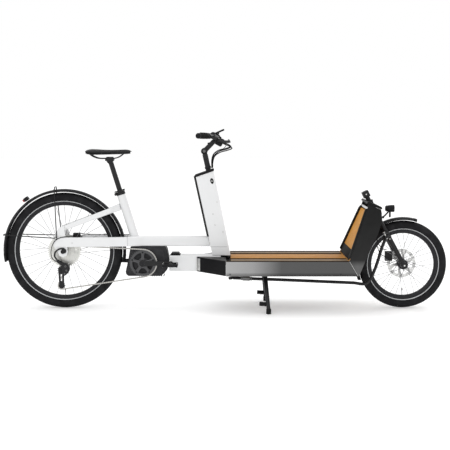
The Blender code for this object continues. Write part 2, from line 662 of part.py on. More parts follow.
def make_chain():
    pulleys = [(REAR_AXLE, COG_RADIUS, -1), (CRANK_AXIS, CHAINRING_RADIUS, -1),
               (TENSION_PULLEY, PULLEY_RADIUS, -1), (GUIDE_PULLEY, PULLEY_RADIUS, 1)]
    loops = belt(pulleys, CHAIN_HALF_HEIGHT, steps=10)
    add("chain", plate(loops, CHAIN_Y - CHAIN_HALF_WIDTH, CHAIN_Y + CHAIN_HALF_WIDTH), "silver", flat=True)


def make_derailleur():
    def cage(y):
        rim = []
        for centre, first in ((GUIDE_PULLEY, 0.0), (TENSION_PULLEY, math.pi)):
            for k in range(7):
                a = first + math.pi * k / 6
                rim.append((centre.x + 0.017 * math.cos(a), centre.z + 0.017 * math.sin(a)))
        return plate([rim], y - 0.0009, y + 0.0009)

    outer_y, inner_y = CHAIN_Y - 0.0085, CHAIN_Y + 0.0085
    pins = [bar(Vector((p.x, outer_y - 0.001, p.z)), Vector((p.x, inner_y + 0.001, p.z)), 0.0036, sides=10)
            for p in (GUIDE_PULLEY, TENSION_PULLEY)]
    shell = [(-0.948, 0.265), (-0.942, 0.245), (-0.955, 0.215), (-0.975, 0.200), (-0.998, 0.212),
             (-1.010, 0.240), (-1.005, 0.262), (-0.985, 0.285), (-0.975, 0.318), (-0.957, 0.318),
             (-0.955, 0.285)]
    knuckle = plate([shell], -0.0915, -0.0625)
    add("derailleur", cage(outer_y), "black_paint", joined=[cage(inner_y)] + pins + [knuckle])


def make_pulley(name, centre):
    rim, bore, half = PULLEY_RADIUS - CHAIN_HALF_HEIGHT - TOOTH_GAP, 0.0042, 0.0030
    profile = [(bore, half), (rim, half), (rim, -half), (bore, -half)]
    add(name, wheelwise(turned(profile, 20), centre), "black_plastic", name)


def make_caliper(name, centre, rotor_y, size, bridge_side, owner=None):
    """A brake caliper straddling its disc, bridged ahead of the disc (+1) or behind it (-1)."""
    half = Vector(size) / 2
    bridge = centre.x + bridge_side * (half.x - 0.006)
    edge = sorted((bridge, centre.x - bridge_side * 0.1))
    slot = block((edge[0], rotor_y - 0.0022, centre.z - 0.1), (edge[1], rotor_y + 0.0022, centre.z + 0.1))
    add(name, block(centre - half, centre + half), "black_paint", owner, cut=[slot], soften=0.002)


# ---------------------------------------------------------------- seat

def make_seatpost():
    post = bar(SEAT_TUBE_TOP - SEAT_UP * 0.100, POST_TOP, POST_RADIUS, sides=16)
    head = block((POST_TOP.x - 0.030, -0.0275, POST_TOP.z - 0.006),
                 (POST_TOP.x + 0.026, 0.0275, POST_TOP.z + 0.010))
    rails = []
    for side in (-1, 1):
        y = side * 0.022
        rails.append(tube([(-0.810, y * 1.4, 0.9338), (-0.790, y * 1.3, 0.921), (-0.760, y, 0.912),
                           (-0.670, y, 0.912), (-0.640, y * 0.9, 0.921), (-0.620, y * 0.7, 0.9365)], 0.0036))
    add("seatpost", post, "black_paint", "seatpost", joined=[head] + rails)


def saddle_ring(x, half, low, high):
    """A domed section of the saddle."""
    return [(x, -half, low + 0.35 * (high - low)), (x, -half * 0.75, low), (x, 0, low + 0.002),
            (x, half * 0.75, low),
            (x, half, low + 0.35 * (high - low)), (x, half * 0.92, high - 0.30 * (high - low)),
            (x, half * 0.62, high - 0.04 * (high - low)), (x, 0, high),
            (x, -half * 0.62, high - 0.04 * (high - low)), (x, -half * 0.92, high - 0.30 * (high - low))]


def make_saddle():
    stations = [(-0.843, 0.042, 0.950, 0.962), (-0.832, 0.062, 0.940, 0.966), (-0.805, 0.074, 0.9375, 0.967),
                (-0.770, 0.070, 0.9375, 0.965), (-0.730, 0.052, 0.9385, 0.963),
                (-0.690, 0.034, 0.9395, 0.962),
                (-0.640, 0.024, 0.9405, 0.963), (-0.595, 0.021, 0.942, 0.965), (-0.573, 0.017, 0.944, 0.964),
                (-0.566, 0.009, 0.948, 0.960)]
    add("saddle", loft([saddle_ring(*s) for s in stations]), "black_plastic", "seatpost")


def make_seat_lever():
    start = LEVER_PIVOT
    forward = Vector((SEAT_UP.z, 0, -SEAT_UP.x))
    route = [start, start + forward * 0.010 + Vector((0, -0.012, 0)),
             start + forward * 0.030 + Vector((0, -0.016, 0)),
             start + forward * 0.062 + Vector((0, -0.014, 0))]
    hub = bar(start, start + SEAT_UP * 0.010, 0.0070, sides=12)
    shape = tube([p + SEAT_UP * 0.005 for p in route], 0.0042)
    add("seat_lever", hub, "black_paint", "seat_lever", joined=[shape])


def make_battery():
    def offset(z, inward):
        return (white_rear_x(z) + inward, z)

    cover = plate([[offset(COVER_FOOT_Z, -0.0083), offset(COVER_FOOT_Z, -GAP), offset(COVER_TOP_Z, -GAP),
                    offset(COVER_TOP_Z, -0.0083)]], -COLUMN_HALF_WIDTH, COLUMN_HALF_WIDTH)
    pack = plate([[offset(0.462, -0.004), (-0.0471, 0.4748), (-0.1131, 0.7777), offset(0.7649, -0.004)]],
                 -0.040, 0.040)
    add("battery", pack, "black_plastic", "battery", joined=[cover])


# ---------------------------------------------------------------- steering

def make_steering_shaft():
    lower = bar(SHAFT_FOOT, SHAFT_FOOT + SHAFT_UP * 0.660, 0.0140, sides=12)
    upper = bar(SHAFT_FOOT + SHAFT_UP * 0.655, STEM_PIVOT - SHAFT_UP * 0.0215, 0.0165, sides=12)
    joined = [upper]
    for side in (-1, 1):
        near, far = sorted((side * 0.0126, side * 0.0215))
        cheek = bar(STEM_PIVOT + Vector((0, near, 0)), STEM_PIVOT + Vector((0, far, 0)), 0.020, sides=12)
        web = block((-0.014, near, -0.050), (0.014, far, 0.0))
        turn = Matrix.Translation(STEM_PIVOT) @ Matrix.Rotation(-SHAFT_LEAN, 4, "Y")
        bmesh.ops.transform(web, matrix=turn, verts=web.verts)
        joined += [cheek, web]
    reach = SHAFT_FOOT + SHAFT_UP * 0.010
    pitman = block((reach.x - 0.013, PITMAN_END.y - 0.012, 0.2090), (reach.x + 0.011, 0.004, 0.2190))
    stud = bar(PITMAN_END - SHAFT_UP * 0.010, PITMAN_END + SHAFT_UP * 0.018, 0.006, sides=12)
    joined += [pitman, stud]
    add("steering_shaft", lower, "black_paint", "steering", joined=joined)


def make_stem():
    knuckle = bar(STEM_PIVOT + Vector((0, -0.0122, 0)), STEM_PIVOT + Vector((0, 0.0122, 0)), 0.0195, sides=14)
    neck = bar(STEM_PIVOT, BAR_CLAMP, 0.0120, sides=14)
    arm = bar(STEM_PIVOT + (BAR_CLAMP - STEM_PIVOT) * 0.27, BAR_CLAMP, 0.0155, sides=12)
    clamp = bar(BAR_CLAMP + Vector((0, -0.022, 0)), BAR_CLAMP + Vector((0, 0.022, 0)), 0.0195, sides=14)
    hole = bar(BAR_CLAMP + Vector((0, -0.05, 0)), BAR_CLAMP + Vector((0, 0.05, 0)), 0.0123, sides=14)
    add("stem", knuckle, "black_paint", "cockpit", joined=[neck, arm, clamp], cut=[hole])


def make_handlebar():
    half = [BAR_CLAMP + Vector((0, 0.045, 0)), Vector((-0.050, 0.080, 1.040)),
            Vector((-0.062, 0.125, 1.0455)),
            Vector((-0.0745, 0.162, 1.0463)), GRIP_INNER, GRIP_OUTER + (GRIP_INNER - GRIP_OUTER) * 0.01]
    mirror = [Vector((p.x, -p.y, p.z)) for p in reversed(half)]
    joined = []
    for side in (-1, 1):
        along = (GRIP_OUTER - GRIP_INNER).normalized()
        ring = bar(GRIP_INNER + along * 0.004, GRIP_INNER + along * 0.024, 0.0155, sides=14)
        tank = bar(Vector((-0.090, 0.200, 1.046)), Vector((-0.048, 0.190, 1.031)), 0.0100, sides=12)
        joined += [side_of(ring, side), side_of(tank, side)]
    add("handlebar", tube(mirror + half, 0.0110, detail=2), "black_paint", "cockpit", joined=joined)


def make_grip(name, side):
    along = (GRIP_OUTER - GRIP_INNER).normalized()
    start, end = GRIP_INNER + along * 0.040, GRIP_OUTER
    hole = bar(start - along * 0.01, end + along * 0.01, 0.0117, sides=14)
    add("grip_" + name, side_of(bar(start, end, 0.0165, sides=14), side), "rubber", "cockpit",
        cut=[side_of(hole, side)])


def make_display():
    centre = Vector((-0.032, 0, 1.0735))
    slab = tilted(block(centre - Vector((0.030, 0.024, 0.0055)), centre + Vector((0.030, 0.024, 0.0055))),
                  centre, -24)
    foot = block((-0.052, -0.009, 1.0562), (-0.036, 0.009, 1.068))
    add("display", slab, "black_plastic", "cockpit", joined=[foot])


def make_brake_lever(name, side):
    route = [LEVER_HINGE, (-0.012, 0.200, 1.014), (0.012, 0.216, 1.012), (0.026, 0.240, 1.013),
             (0.029, 0.270, 1.015), (0.023, 0.305, 1.018)]
    add("brake_lever_" + name, side_of(tube(route, 0.0058), side), "black_paint", "brake_lever_" + name)


def make_cockpit_cable():
    route = [(-0.040, -0.165, 1.026), (-0.010, -0.155, 1.010), (0.022, -0.125, 0.996), (0.032, -0.085, 0.984),
             (0.004, -0.052, 0.972), (-0.036, -0.030, 0.962), (-0.068, -0.018, 0.938),
             (-0.080, -0.012, 0.900),
             (-0.0795, -0.010, 0.849)]
    add("cockpit_cable", tube(smooth_route(route, 2), 0.0040), "rubber", "cockpit")


def make_tie_rod():
    straight = [PITMAN_END + Vector((0.012, 0, 0)), (0.400, -0.120, 0.184)]
    bend = smooth_route([(0.770, -0.154, 0.173), (0.832, -0.161, 0.168), (0.868, -0.165, 0.200),
                         (0.893, -0.167, 0.256), (0.913, -0.164, 0.315), (0.934, -0.147, 0.378),
                         (0.9603, -0.1182, 0.4322)], 2)
    route = straight + bend
    rear_eye = bar(PITMAN_END - SHAFT_UP * 0.007, PITMAN_END + SHAFT_UP * 0.0085, 0.0155, sides=12)
    rear_hole = bar(PITMAN_END - SHAFT_UP * 0.03, PITMAN_END + SHAFT_UP * 0.03, 0.0066, sides=12)
    front_eye = bar(ARM_END - FORK_UP * 0.007, ARM_END + FORK_UP * 0.007, 0.0185, sides=14)
    front_hole = bar(ARM_END - FORK_UP * 0.03, ARM_END + FORK_UP * 0.03, 0.0120, sides=16)
    sleeve = bar((0.105, -0.1025, 0.1925), (0.150, -0.1052, 0.1911), 0.0135, sides=12)
    add("tie_rod", tube(route, 0.0095), "black_paint", "tie_rod", joined=[rear_eye, front_eye, sleeve],
        cut=[rear_hole, front_hole])


# ---------------------------------------------------------------- fork

def make_fork():
    crown_at = FORK_FOOT + FORK_UP * 0.318
    crown = block((-0.022, -0.082, -0.0155), (0.022, 0.082, 0.0155))
    bmesh.ops.transform(crown, matrix=Matrix.Translation(crown_at) @ Matrix.Rotation(-FORK_LEAN, 4, "Y"),
                        verts=crown.verts)
    steerer = bar(crown_at, FORK_FOOT + FORK_UP * 0.502, 0.0143, sides=12)
    clamp = block((-0.021, -0.022, -0.0195), (0.021, 0.022, 0.0195))
    clamp_at = FORK_FOOT + FORK_UP * 0.484
    bmesh.ops.transform(clamp, matrix=Matrix.Translation(clamp_at) @ Matrix.Rotation(-FORK_LEAN, 4, "Y"),
                        verts=clamp.verts)
    joined = [steerer, clamp]
    for side in (-1, 1):
        offset = Vector((0, side * LEG_Y, 0))
        joined.append(bar(crown_at + offset, FRONT_AXLE + offset, 0.0155, 0.0125, sides=14))
        near, far = sorted((side * 0.0525, side * 0.0805))
        joined.append(bar(FRONT_AXLE + Vector((0, near, 0)), FRONT_AXLE + Vector((0, far, 0)), 0.021,
                          sides=12))
    joined.append(bar(FRONT_AXLE + Vector((0, -0.085, 0)), FRONT_AXLE + Vector((0, 0.085, 0)), AXLE_RADIUS))
    arm_root = Vector((0.980, -0.066, 0.468))
    joined.append(bar(arm_root, ARM_END + FORK_UP * 0.0200, 0.0085, sides=12))
    joined.append(bar(ARM_END - FORK_UP * 0.0095, ARM_END + FORK_UP * 0.0230, 0.0048, sides=12))
    add("fork", crown, "black_paint", "fork", joined=joined)


def make_front_brake_hose():
    route = [(0.9060, 0.080, 0.505), (0.925, 0.098, 0.440), (0.948, 0.098, 0.385), (0.975, 0.090, 0.352),
             (1.000, 0.0865, 0.345)]
    add("front_brake_hose", tube(smooth_route(route, 2), 0.0026), "rubber", "fork")


def make_rear_brake_hose():
    route = [(-0.570, 0.046, 0.4420), (-0.640, 0.054, 0.4420), (-0.740, 0.0665, 0.4420),
             (-0.840, 0.0770, 0.4420),
             (-0.875, 0.0800, 0.4440), (-0.890, 0.0785, 0.4490)]
    add("rear_brake_hose", tube(smooth_route(route, 2), 0.0026), "rubber")


def make_headlight():
    centre = Vector((1.002, 0, 0.607))
    lamp = bar(centre - Vector((0.0275, 0, 0)), centre + Vector((0.0275, 0, 0)), 0.0215, sides=16)
    arm = tube([LAMP_HINGE, (0.975, 0, 0.566), (0.992, 0, 0.585), (0.998, 0, 0.600)], 0.0050)
    add("headlight", lamp, "black_plastic", "headlight", joined=[arm])


def make_kickstand():
    cross = bar(STAND_PIVOT + Vector((0, -0.132, 0)), STAND_PIVOT + Vector((0, 0.132, 0)), 0.0130, sides=12)
    joined = []
    for side in (-1, 1):
        hip, foot = STAND_PIVOT + Vector((0, 0.124, 0)), Vector((0.258, 0.243, 0.024))
        leg = bar(hip, foot, 0.0135, 0.0115, sides=12)
        pad = bar((foot.x, foot.y, 0.0), (foot.x, foot.y, 0.032), 0.0150, sides=12)
        at = hip + (foot - hip) * 0.86
        peg = bar(at, at + Vector((-0.052, 0, 0.004)), 0.0135, sides=12)
        joined += [side_of(shape, side) for shape in (leg, pad, peg)]
    add("kickstand", cross, "black_paint", "kickstand", joined=joined)


# ---------------------------------------------------------------- assembly

body("seatpost", SEAT_TUBE_TOP, SEAT_UP)
body("seat_lever", LEVER_PIVOT, SEAT_UP)
body("battery", (white_rear_x(COVER_FOOT_Z) - 0.0083, 0, COVER_FOOT_Z), (0, -1, 0))
body("steering", SHAFT_FOOT, SHAFT_UP)
body("cockpit", STEM_PIVOT, (0, 1, 0), "steering")
for label, sign in SIDES:
    hinge = Vector((LEVER_HINGE.x, sign * LEVER_HINGE.y, LEVER_HINGE.z))
    body("brake_lever_" + label, hinge, (0, 0, sign), "cockpit")
body("tie_rod", PITMAN_END, SHAFT_UP, "steering")
body("fork", FORK_FOOT, FORK_UP)
body("headlight", LAMP_HINGE, (0, 1, 0), "fork")
body("front_wheel", FRONT_AXLE, (0, 1, 0), "fork")
body("rear_wheel", REAR_AXLE, (0, 1, 0))
body("cassette", REAR_AXLE, (0, 1, 0))
body("crank", CRANK_AXIS, (0, 1, 0))
body("pedal_right", CRANK_AXIS + Vector((CRANK_LENGTH, 0, 0)), (0, 1, 0), "crank")
body("pedal_left", CRANK_AXIS - Vector((CRANK_LENGTH, 0, 0)), (0, 1, 0), "crank")
body("guide_pulley", GUIDE_PULLEY, (0, 1, 0))
body("tension_pulley", TENSION_PULLEY, (0, 1, 0))
body("kickstand", STAND_PIVOT, (0, 1, 0))

make_main_beam()
make_seat_tube()
make_column()
make_lower_box()
make_motor()
make_head_tube()
make_deck_frame()
make_deck_board()
make_bulkhead_board()
make_bulkhead_cap()
for label, sign in SIDES:
    make_chainstay(label, sign)
    make_seatstay(label, sign)
    make_shoulder(label, sign)
    make_deck_side(label, sign)
    make_bulkhead_side(label, sign)
    make_grip(label, sign)
    make_brake_lever(label, sign)
make_mudguard("rear_mudguard", REAR_AXLE, REAR_GUARD_RADIUS, -11, 191, 20)
make_mudguard("front_mudguard", FRONT_AXLE, FRONT_GUARD_RADIUS, 73, 200, 13, "fork")
make_mudguard_stays()
make_rear_light()
make_wheel("rear", REAR_AXLE, REAR_RADIUS, "rear_wheel", (-0.0685, 0.0735), (-0.0165, 0.034), 0.056,
           ROTOR_RADIUS)
make_wheel("front", FRONT_AXLE, FRONT_RADIUS, "front_wheel", (-0.0515, 0.0515), (-0.026, 0.026), 0.040,
           ROTOR_RADIUS)
make_chainring_and_cranks()
make_pedal("right", -1, CRANK_AXIS + Vector((CRANK_LENGTH, 0, 0)))
make_pedal("left", 1, CRANK_AXIS - Vector((CRANK_LENGTH, 0, 0)))
make_cassette()
make_chain()
make_derailleur()
make_pulley("guide_pulley", GUIDE_PULLEY)
make_pulley("tension_pulley", TENSION_PULLEY)
make_caliper("rear_caliper", Vector((-0.911, 0.057, 0.425)), 0.056, (0.044, 0.030, 0.056), 1)
make_caliper("front_caliper", Vector((1.004, 0.0375, 0.312)), 0.040, (0.046, 0.0275, 0.060), -1, "fork")
make_seatpost()
make_saddle()
make_seat_lever()
make_battery()
make_steering_shaft()
make_stem()
make_handlebar()
make_display()
make_cockpit_cable()
make_tie_rod()
make_fork()
make_front_brake_hose()
make_rear_brake_hose()
make_headlight()
make_kickstand()
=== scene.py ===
"""Looks of a front-loading cargo bicycle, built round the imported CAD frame.

Metres, in the frame's own axes: +X forward, +Y the rider's left, +Z up. Every piece is made in
place, so an object's own coordinates are the frame's.
"""

import json
import math

import bmesh
import bpy
from mathutils import Matrix, Vector


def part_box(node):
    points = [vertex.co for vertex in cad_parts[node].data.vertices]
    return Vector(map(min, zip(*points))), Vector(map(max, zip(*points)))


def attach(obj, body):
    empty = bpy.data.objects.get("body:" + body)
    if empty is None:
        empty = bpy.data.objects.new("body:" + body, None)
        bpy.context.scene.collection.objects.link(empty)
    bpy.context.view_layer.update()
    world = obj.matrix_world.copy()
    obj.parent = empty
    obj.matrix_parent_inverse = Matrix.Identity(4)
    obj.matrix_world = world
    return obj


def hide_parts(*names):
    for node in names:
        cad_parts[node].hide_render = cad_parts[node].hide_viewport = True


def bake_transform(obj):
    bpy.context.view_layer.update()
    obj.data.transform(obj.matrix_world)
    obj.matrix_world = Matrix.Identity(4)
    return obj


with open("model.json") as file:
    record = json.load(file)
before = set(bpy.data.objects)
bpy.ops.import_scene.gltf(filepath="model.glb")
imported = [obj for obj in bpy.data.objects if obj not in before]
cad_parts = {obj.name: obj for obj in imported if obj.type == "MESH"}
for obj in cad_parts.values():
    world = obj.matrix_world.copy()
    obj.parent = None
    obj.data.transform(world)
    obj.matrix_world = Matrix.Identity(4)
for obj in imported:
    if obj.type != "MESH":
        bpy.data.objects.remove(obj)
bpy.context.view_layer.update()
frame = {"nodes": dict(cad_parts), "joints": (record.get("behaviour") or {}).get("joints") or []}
NODES = frame["nodes"]
JOINTS = {j["name"]: j for j in frame["joints"]}


def pivot(name):
    return Vector(JOINTS[name]["pos_m"])


def axis(name):
    return Vector(JOINTS[name]["axis"]).normalized()


def half_height(node):
    low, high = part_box(node)
    return (high.z - low.z) / 2


# ---------------------------------------------------------------- places taken from the frame

UP, LEFT, FORWARD = Vector((0, 0, 1)), Vector((0, 1, 0)), Vector((1, 0, 0))
REAR_AXLE = pivot("rear_wheel_spin")
FRONT_AXLE = pivot("front_wheel_spin")
REAR_RADIUS = half_height("rear_tyre")
FRONT_RADIUS = half_height("front_tyre")
TYRE_HALF_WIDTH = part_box("rear_tyre")[1].y
ROTOR_RADIUS = 0.088
CRANK_AXIS = pivot("crank_spin")
CRANK_LENGTH = (pivot("pedal_right_spin") - CRANK_AXIS).length
GUIDE_PULLEY = pivot("guide_pulley_spin")
TENSION_PULLEY = pivot("tension_pulley_spin")
CHAIN_Y = GUIDE_PULLEY.y
LINK = 0.0127
CHAINRING_RADIUS = 0.084
COG_RADIUS = 0.0345
PULLEY_RADIUS = 0.0225
SHAFT_FOOT = pivot("handlebar_turn")
SHAFT_UP = axis("handlebar_turn")
STEM_PIVOT = pivot("stem_tilt")
ROD_END = pivot("tie_rod_swing")
FORK_FOOT = pivot("fork_turn")
FORK_UP = axis("fork_turn")
FORK_FORWARD = LEFT.cross(FORK_UP).normalized()
ARM_END = Vector((0.966, -0.112, 0.444))
LEG_Y = 0.066
SEAT_UP = axis("seatpost_slide")
SEAT_ACROSS = Vector((SEAT_UP.z, 0, -SEAT_UP.x))
LEVER_PIVOT = pivot("seat_lever_hinge")
SEAT_TUBE_TOP = LEVER_PIVOT - SEAT_UP * 0.0045 + Vector((0.026, 0.018, 0.008))
SEAT_TUBE_FOOT = Vector((-0.5526, 0, 0.4383))
POST_TOP = SEAT_TUBE_TOP + SEAT_UP * 0.204
LEVER_HINGE = pivot("brake_lever_left_hinge")
BAR_CLAMP = Vector((-0.046, 0, 1.036))
GRIP_INNER = Vector((-0.0885, 0.195, 1.0465))
GRIP_OUTER = Vector((-0.1540, 0.350, 1.0502))
LAMP_HINGE = pivot("headlight_tilt")
STAND_PIVOT = pivot("kickstand_fold")
DECK_LOW, DECK_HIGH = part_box("deck_board")
SIDE_LOW, SIDE_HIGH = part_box("deck_side_right")
COLUMN_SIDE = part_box("column_shell")[1].y
SIDES = (("right", -1), ("left", 1))
CAMERA_PLACE, CAMERA_AIM = Vector((0.0, -6.5, 1.1)), Vector((0.0, 0.0, 0.506))
CAMERA_LENS = 85.7
BOARD_FOOT = Vector((0.7325, 0, 0.317))
BOARD_LEAN = 0.3913
BOARD_UP = Vector((BOARD_LEAN, 0, 1)).normalized()
BOARD_BACK = Vector((-BOARD_UP.z, 0, BOARD_UP.x))
CLAMP_LIFT = 0.484
STEERER_TOP = 0.502


# ---------------------------------------------------------------- finishes

class Finish:
    """A procedural material, its nodes added by short calls."""

    def __init__(self, name, color, roughness, metallic=0.0, coat=0.0, shine=0.5):
        self.material = bpy.data.materials.new(name)
        self.material.use_nodes = True
        self.tree = self.material.node_tree
        self.shader = self.tree.nodes["Principled BSDF"]
        self.shader.inputs["Base Color"].default_value = (*color, 1.0)
        self.shader.inputs["Roughness"].default_value = roughness
        self.shader.inputs["Metallic"].default_value = metallic
        self.shader.inputs["Specular IOR Level"].default_value = shine
        self.shader.inputs["Coat Weight"].default_value = coat
        self.shader.inputs["Coat Roughness"].default_value = 0.12
        self.place = self.tree.nodes.new("ShaderNodeTexCoord").outputs["Object"]
        self.normal = None

    def join(self, source, target):
        if isinstance(source, (int, float)):
            target.default_value = source
        elif isinstance(source, tuple):
            target.default_value = source
        else:
            self.tree.links.new(source, target)

    def stretched(self, stretch):
        mapping = self.tree.nodes.new("ShaderNodeMapping")
        mapping.inputs["Scale"].default_value = stretch
        self.join(self.place, mapping.inputs["Vector"])
        return mapping.outputs["Vector"]

    def noise(self, scale, stretch=(1, 1, 1), detail=3.0, distortion=0.0):
        made = self.tree.nodes.new("ShaderNodeTexNoise")
        made.inputs["Scale"].default_value = scale
        made.inputs["Detail"].default_value = detail
        made.inputs["Distortion"].default_value = distortion
        self.join(self.stretched(stretch), made.inputs["Vector"])
        return made.outputs["Fac"]

    def cells(self, scale, stretch=(1, 1, 1)):
        made = self.tree.nodes.new("ShaderNodeTexVoronoi")
        made.inputs["Scale"].default_value = scale
        self.join(self.stretched(stretch), made.inputs["Vector"])
        return made.outputs["Distance"]

    def along(self, letter, low, high):
        """0 at low and 1 at high on one axis of the frame."""
        split = self.tree.nodes.new("ShaderNodeSeparateXYZ")
        self.join(self.place, split.inputs["Vector"])
        ranged = self.tree.nodes.new("ShaderNodeMapRange")
        self.join(split.outputs[letter], ranged.inputs["Value"])
        ranged.inputs["From Min"].default_value = low
        ranged.inputs["From Max"].default_value = high
        return ranged.outputs["Result"]

    def math(self, operation, first, second=0.0):
        made = self.tree.nodes.new("ShaderNodeMath")
        made.operation = operation
        self.join(first, made.inputs[0])
        self.join(second, made.inputs[1])
        return made.outputs["Value"]

    def ramp(self, value, *stops):
        """Colours or grey levels, as (position, colour or level) stops."""
        made = self.tree.nodes.new("ShaderNodeValToRGB")
        self.join(value, made.inputs["Fac"])
        elements = made.color_ramp.elements
        while len(elements) < len(stops):
            elements.new(0.5)
        for element, (position, color) in zip(elements, stops):
            element.position = position
            element.color = (color, color, color, 1.0) if isinstance(color, (int, float)) else (*color, 1.0)
        return made.outputs["Color"]

    def blend(self, factor, first, second):
        made = self.tree.nodes.new("ShaderNodeMix")
        made.data_type = "RGBA"
        self.join(factor, made.inputs["Factor"])
        for source, label in ((first, "A"), (second, "B")):
            target = next(s for s in made.inputs if s.name == label and s.type == "RGBA")
            self.join((*source, 1.0) if isinstance(source, tuple) else source, target)
        return next(s for s in made.outputs if s.type == "RGBA")

    def color(self, source):
        self.join(source, self.shader.inputs["Base Color"])
        return self

    def roughness(self, value, low, high):
        ranged = self.tree.nodes.new("ShaderNodeMapRange")
        self.join(value, ranged.inputs["Value"])
        ranged.inputs["To Min"].default_value = low
        ranged.inputs["To Max"].default_value = high
        self.join(ranged.outputs["Result"], self.shader.inputs["Roughness"])
        return self

    def bump(self, height, distance, strength=1.0):
        made = self.tree.nodes.new("ShaderNodeBump")
        made.inputs["Distance"].default_value = distance
        made.inputs["Strength"].default_value = strength
        self.join(height, made.inputs["Height"])
        if self.normal:
            self.join(self.normal, made.inputs["Normal"])
        self.normal = made.outputs["Normal"]
        self.join(self.normal, self.shader.inputs["Normal"])
        return self


def painted(name, color, roughness, peel=0.00004, dust=0.03, coat=0.25, shine=0.4):
    """Sprayed paint: orange peel under a clear coat, with faint dust and handling marks."""
    made = Finish(name, color, roughness, coat=coat, shine=shine)
    marks = made.noise(7.0, detail=6.0)
    darker = tuple(c * (1 - dust) for c in color)
    made.color(made.blend(made.ramp(marks, (0.35, 0.0), (0.7, 1.0)), color, darker))
    made.roughness(made.noise(40.0, detail=5.0), roughness * 0.8, roughness * 1.3)
    return made.bump(made.noise(420.0, detail=1.0), peel)


def moulded(name, color, roughness, grain=900.0, depth=0.00009):
    """Moulded plastic: fine spark-eroded texture and slightly worn shine."""
    made = Finish(name, color, roughness, shine=0.1)
    wear = made.noise(25.0, detail=6.0)
    paler = tuple(min(1.0, c * 1.5 + 0.006) for c in color)
    made.color(made.blend(made.ramp(wear, (0.45, 0.0), (0.75, 1.0)), color, paler))
    made.roughness(wear, roughness * 0.8, min(1.0, roughness * 1.25))
    return made.bump(made.noise(grain, detail=2.0), depth)


def metal(name, color, roughness, stretch=(1, 1, 1), grain=300.0, depth=0.00003):
    """Bare or anodised metal with turning or brushing lines, and darker spots of grime."""
    made = Finish(name, color, roughness, metallic=1.0)
    lines = made.noise(grain, stretch, detail=4.0)
    grime = made.noise(30.0, detail=6.0)
    made.color(made.blend(made.ramp(grime, (0.55, 0.0), (0.8, 1.0)), color, tuple(c * 0.6 for c in color)))
    made.roughness(lines, roughness * 0.7, roughness * 1.4)
    return made.bump(lines, depth)


def veneer(name, light, dark, grain_axis, weathering=0.0):
    """Varnished plywood face: growth rings stretched along the grain, pores and fine fibres."""
    stretch = {"X": (1.0, 9.0, 9.0), "Y": (9.0, 1.0, 9.0), "Z": (9.0, 9.0, 1.0)}[grain_axis]
    fine = tuple(s * 3.0 if s > 1 else s for s in stretch)
    made = Finish(name, light, 0.5, shine=0.04)
    rings = made.noise(5.0, stretch, detail=5.0, distortion=1.4)
    fibres = made.noise(55.0, fine, detail=5.0)
    tone = made.blend(made.ramp(rings, (0.36, 0.0), (0.50, 1.0), (0.62, 0.25)), light, dark)
    fleck = tuple(c * 0.55 for c in dark)
    tone = made.blend(made.ramp(fibres, (0.56, 0.0), (0.70, 0.7)), tone, fleck)
    grey = made.noise(6.0, (1.0, 2.0, 2.0), detail=6.0)
    if weathering:
        tone = made.blend(made.ramp(grey, (0.25, weathering), (0.8, weathering * 0.35)), tone,
                          (0.16, 0.145, 0.12))
    made.color(tone)
    made.roughness(fibres, 0.34, 0.62)
    made.bump(rings, 0.0002, 0.5)
    return made.bump(fibres, 0.00012)


def make_white():
    """Satin white frame paint."""
    return painted("white_frame_paint", (0.735, 0.74, 0.745), 0.30)


def make_deck_side_paint_and_light():
    """Grey metallic lacquer under painted light: a painted reflection makes it paler at the rear, and painted
    shade darkens it along the front and its lower edge.
    """
    made = Finish("deck_side_lacquer_and_painted_light", (0.2, 0.2, 0.2), 0.42, metallic=0.25, shine=0.2)
    # Painted light along the deck's length: a painted reflection at the rear, fading to painted shade towards
    # the front.
    length = made.along("X", SIDE_LOW.x, SIDE_HIGH.x)
    shade = made.ramp(length, (0.0, 0.37), (0.20, 0.30), (0.42, 0.085), (1.0, 0.080))
    # Painted shade darkening the lower edge.
    height = made.along("Z", SIDE_LOW.z, SIDE_HIGH.z)
    foot = made.ramp(height, (0.0, 0.40), (0.14, 0.60), (0.26, 1.0))
    flakes = made.ramp(made.cells(1800.0), (0.0, 0.82), (1.0, 1.12))
    level = made.math("MULTIPLY", made.math("MULTIPLY", shade, foot), flakes)
    made.color(level)
    made.roughness(made.noise(60.0, detail=5.0), 0.30, 0.46)
    return made.bump(made.noise(500.0, detail=1.0), 0.00003)


def make_bulkhead_paint():
    """Anthracite coating, lighter where it turns down beside the deck."""
    made = Finish("bulkhead_coating", (0.02, 0.02, 0.02), 0.5, shine=0.08)
    height = made.along("Z", 0.235, 0.60)
    shade = made.ramp(height, (0.0, 0.13), (0.14, 0.110), (0.24, 0.022), (1.0, 0.012))
    made.color(made.math("MULTIPLY", shade, made.ramp(made.noise(14.0, detail=6.0), (0.3, 0.9), (0.8, 1.15))))
    made.roughness(made.noise(70.0, detail=5.0), 0.36, 0.55)
    return made.bump(made.noise(1300.0, detail=2.0), 0.00008)


def make_ply_edge():
    """Cut edge of the boards: thin plies, dark and pale by turns."""
    made = Finish("plywood_edge", (0.10, 0.05, 0.02), 0.7, shine=0.03)
    wave = made.tree.nodes.new("ShaderNodeTexWave")
    wave.bands_direction = "Z"
    wave.inputs["Scale"].default_value = 160.0
    wave.inputs["Distortion"].default_value = 0.6
    made.join(made.place, wave.inputs["Vector"])
    made.color(made.blend(wave.outputs["Fac"], (0.030, 0.014, 0.005), (0.16, 0.085, 0.035)))
    made.roughness(made.noise(300.0), 0.5, 0.75)
    return made.bump(made.noise(400.0, (1, 1, 6)), 0.0001)


def make_tyre_rubber():
    """Matt black rubber with paler worn patches, and fine moulding lines on the wall."""
    made = moulded("tyre_rubber", (0.011, 0.011, 0.012), 0.78, grain=700.0, depth=0.00012)
    return made.bump(made.noise(90.0, (1, 8, 1), detail=4.0), 0.0002, 0.5)


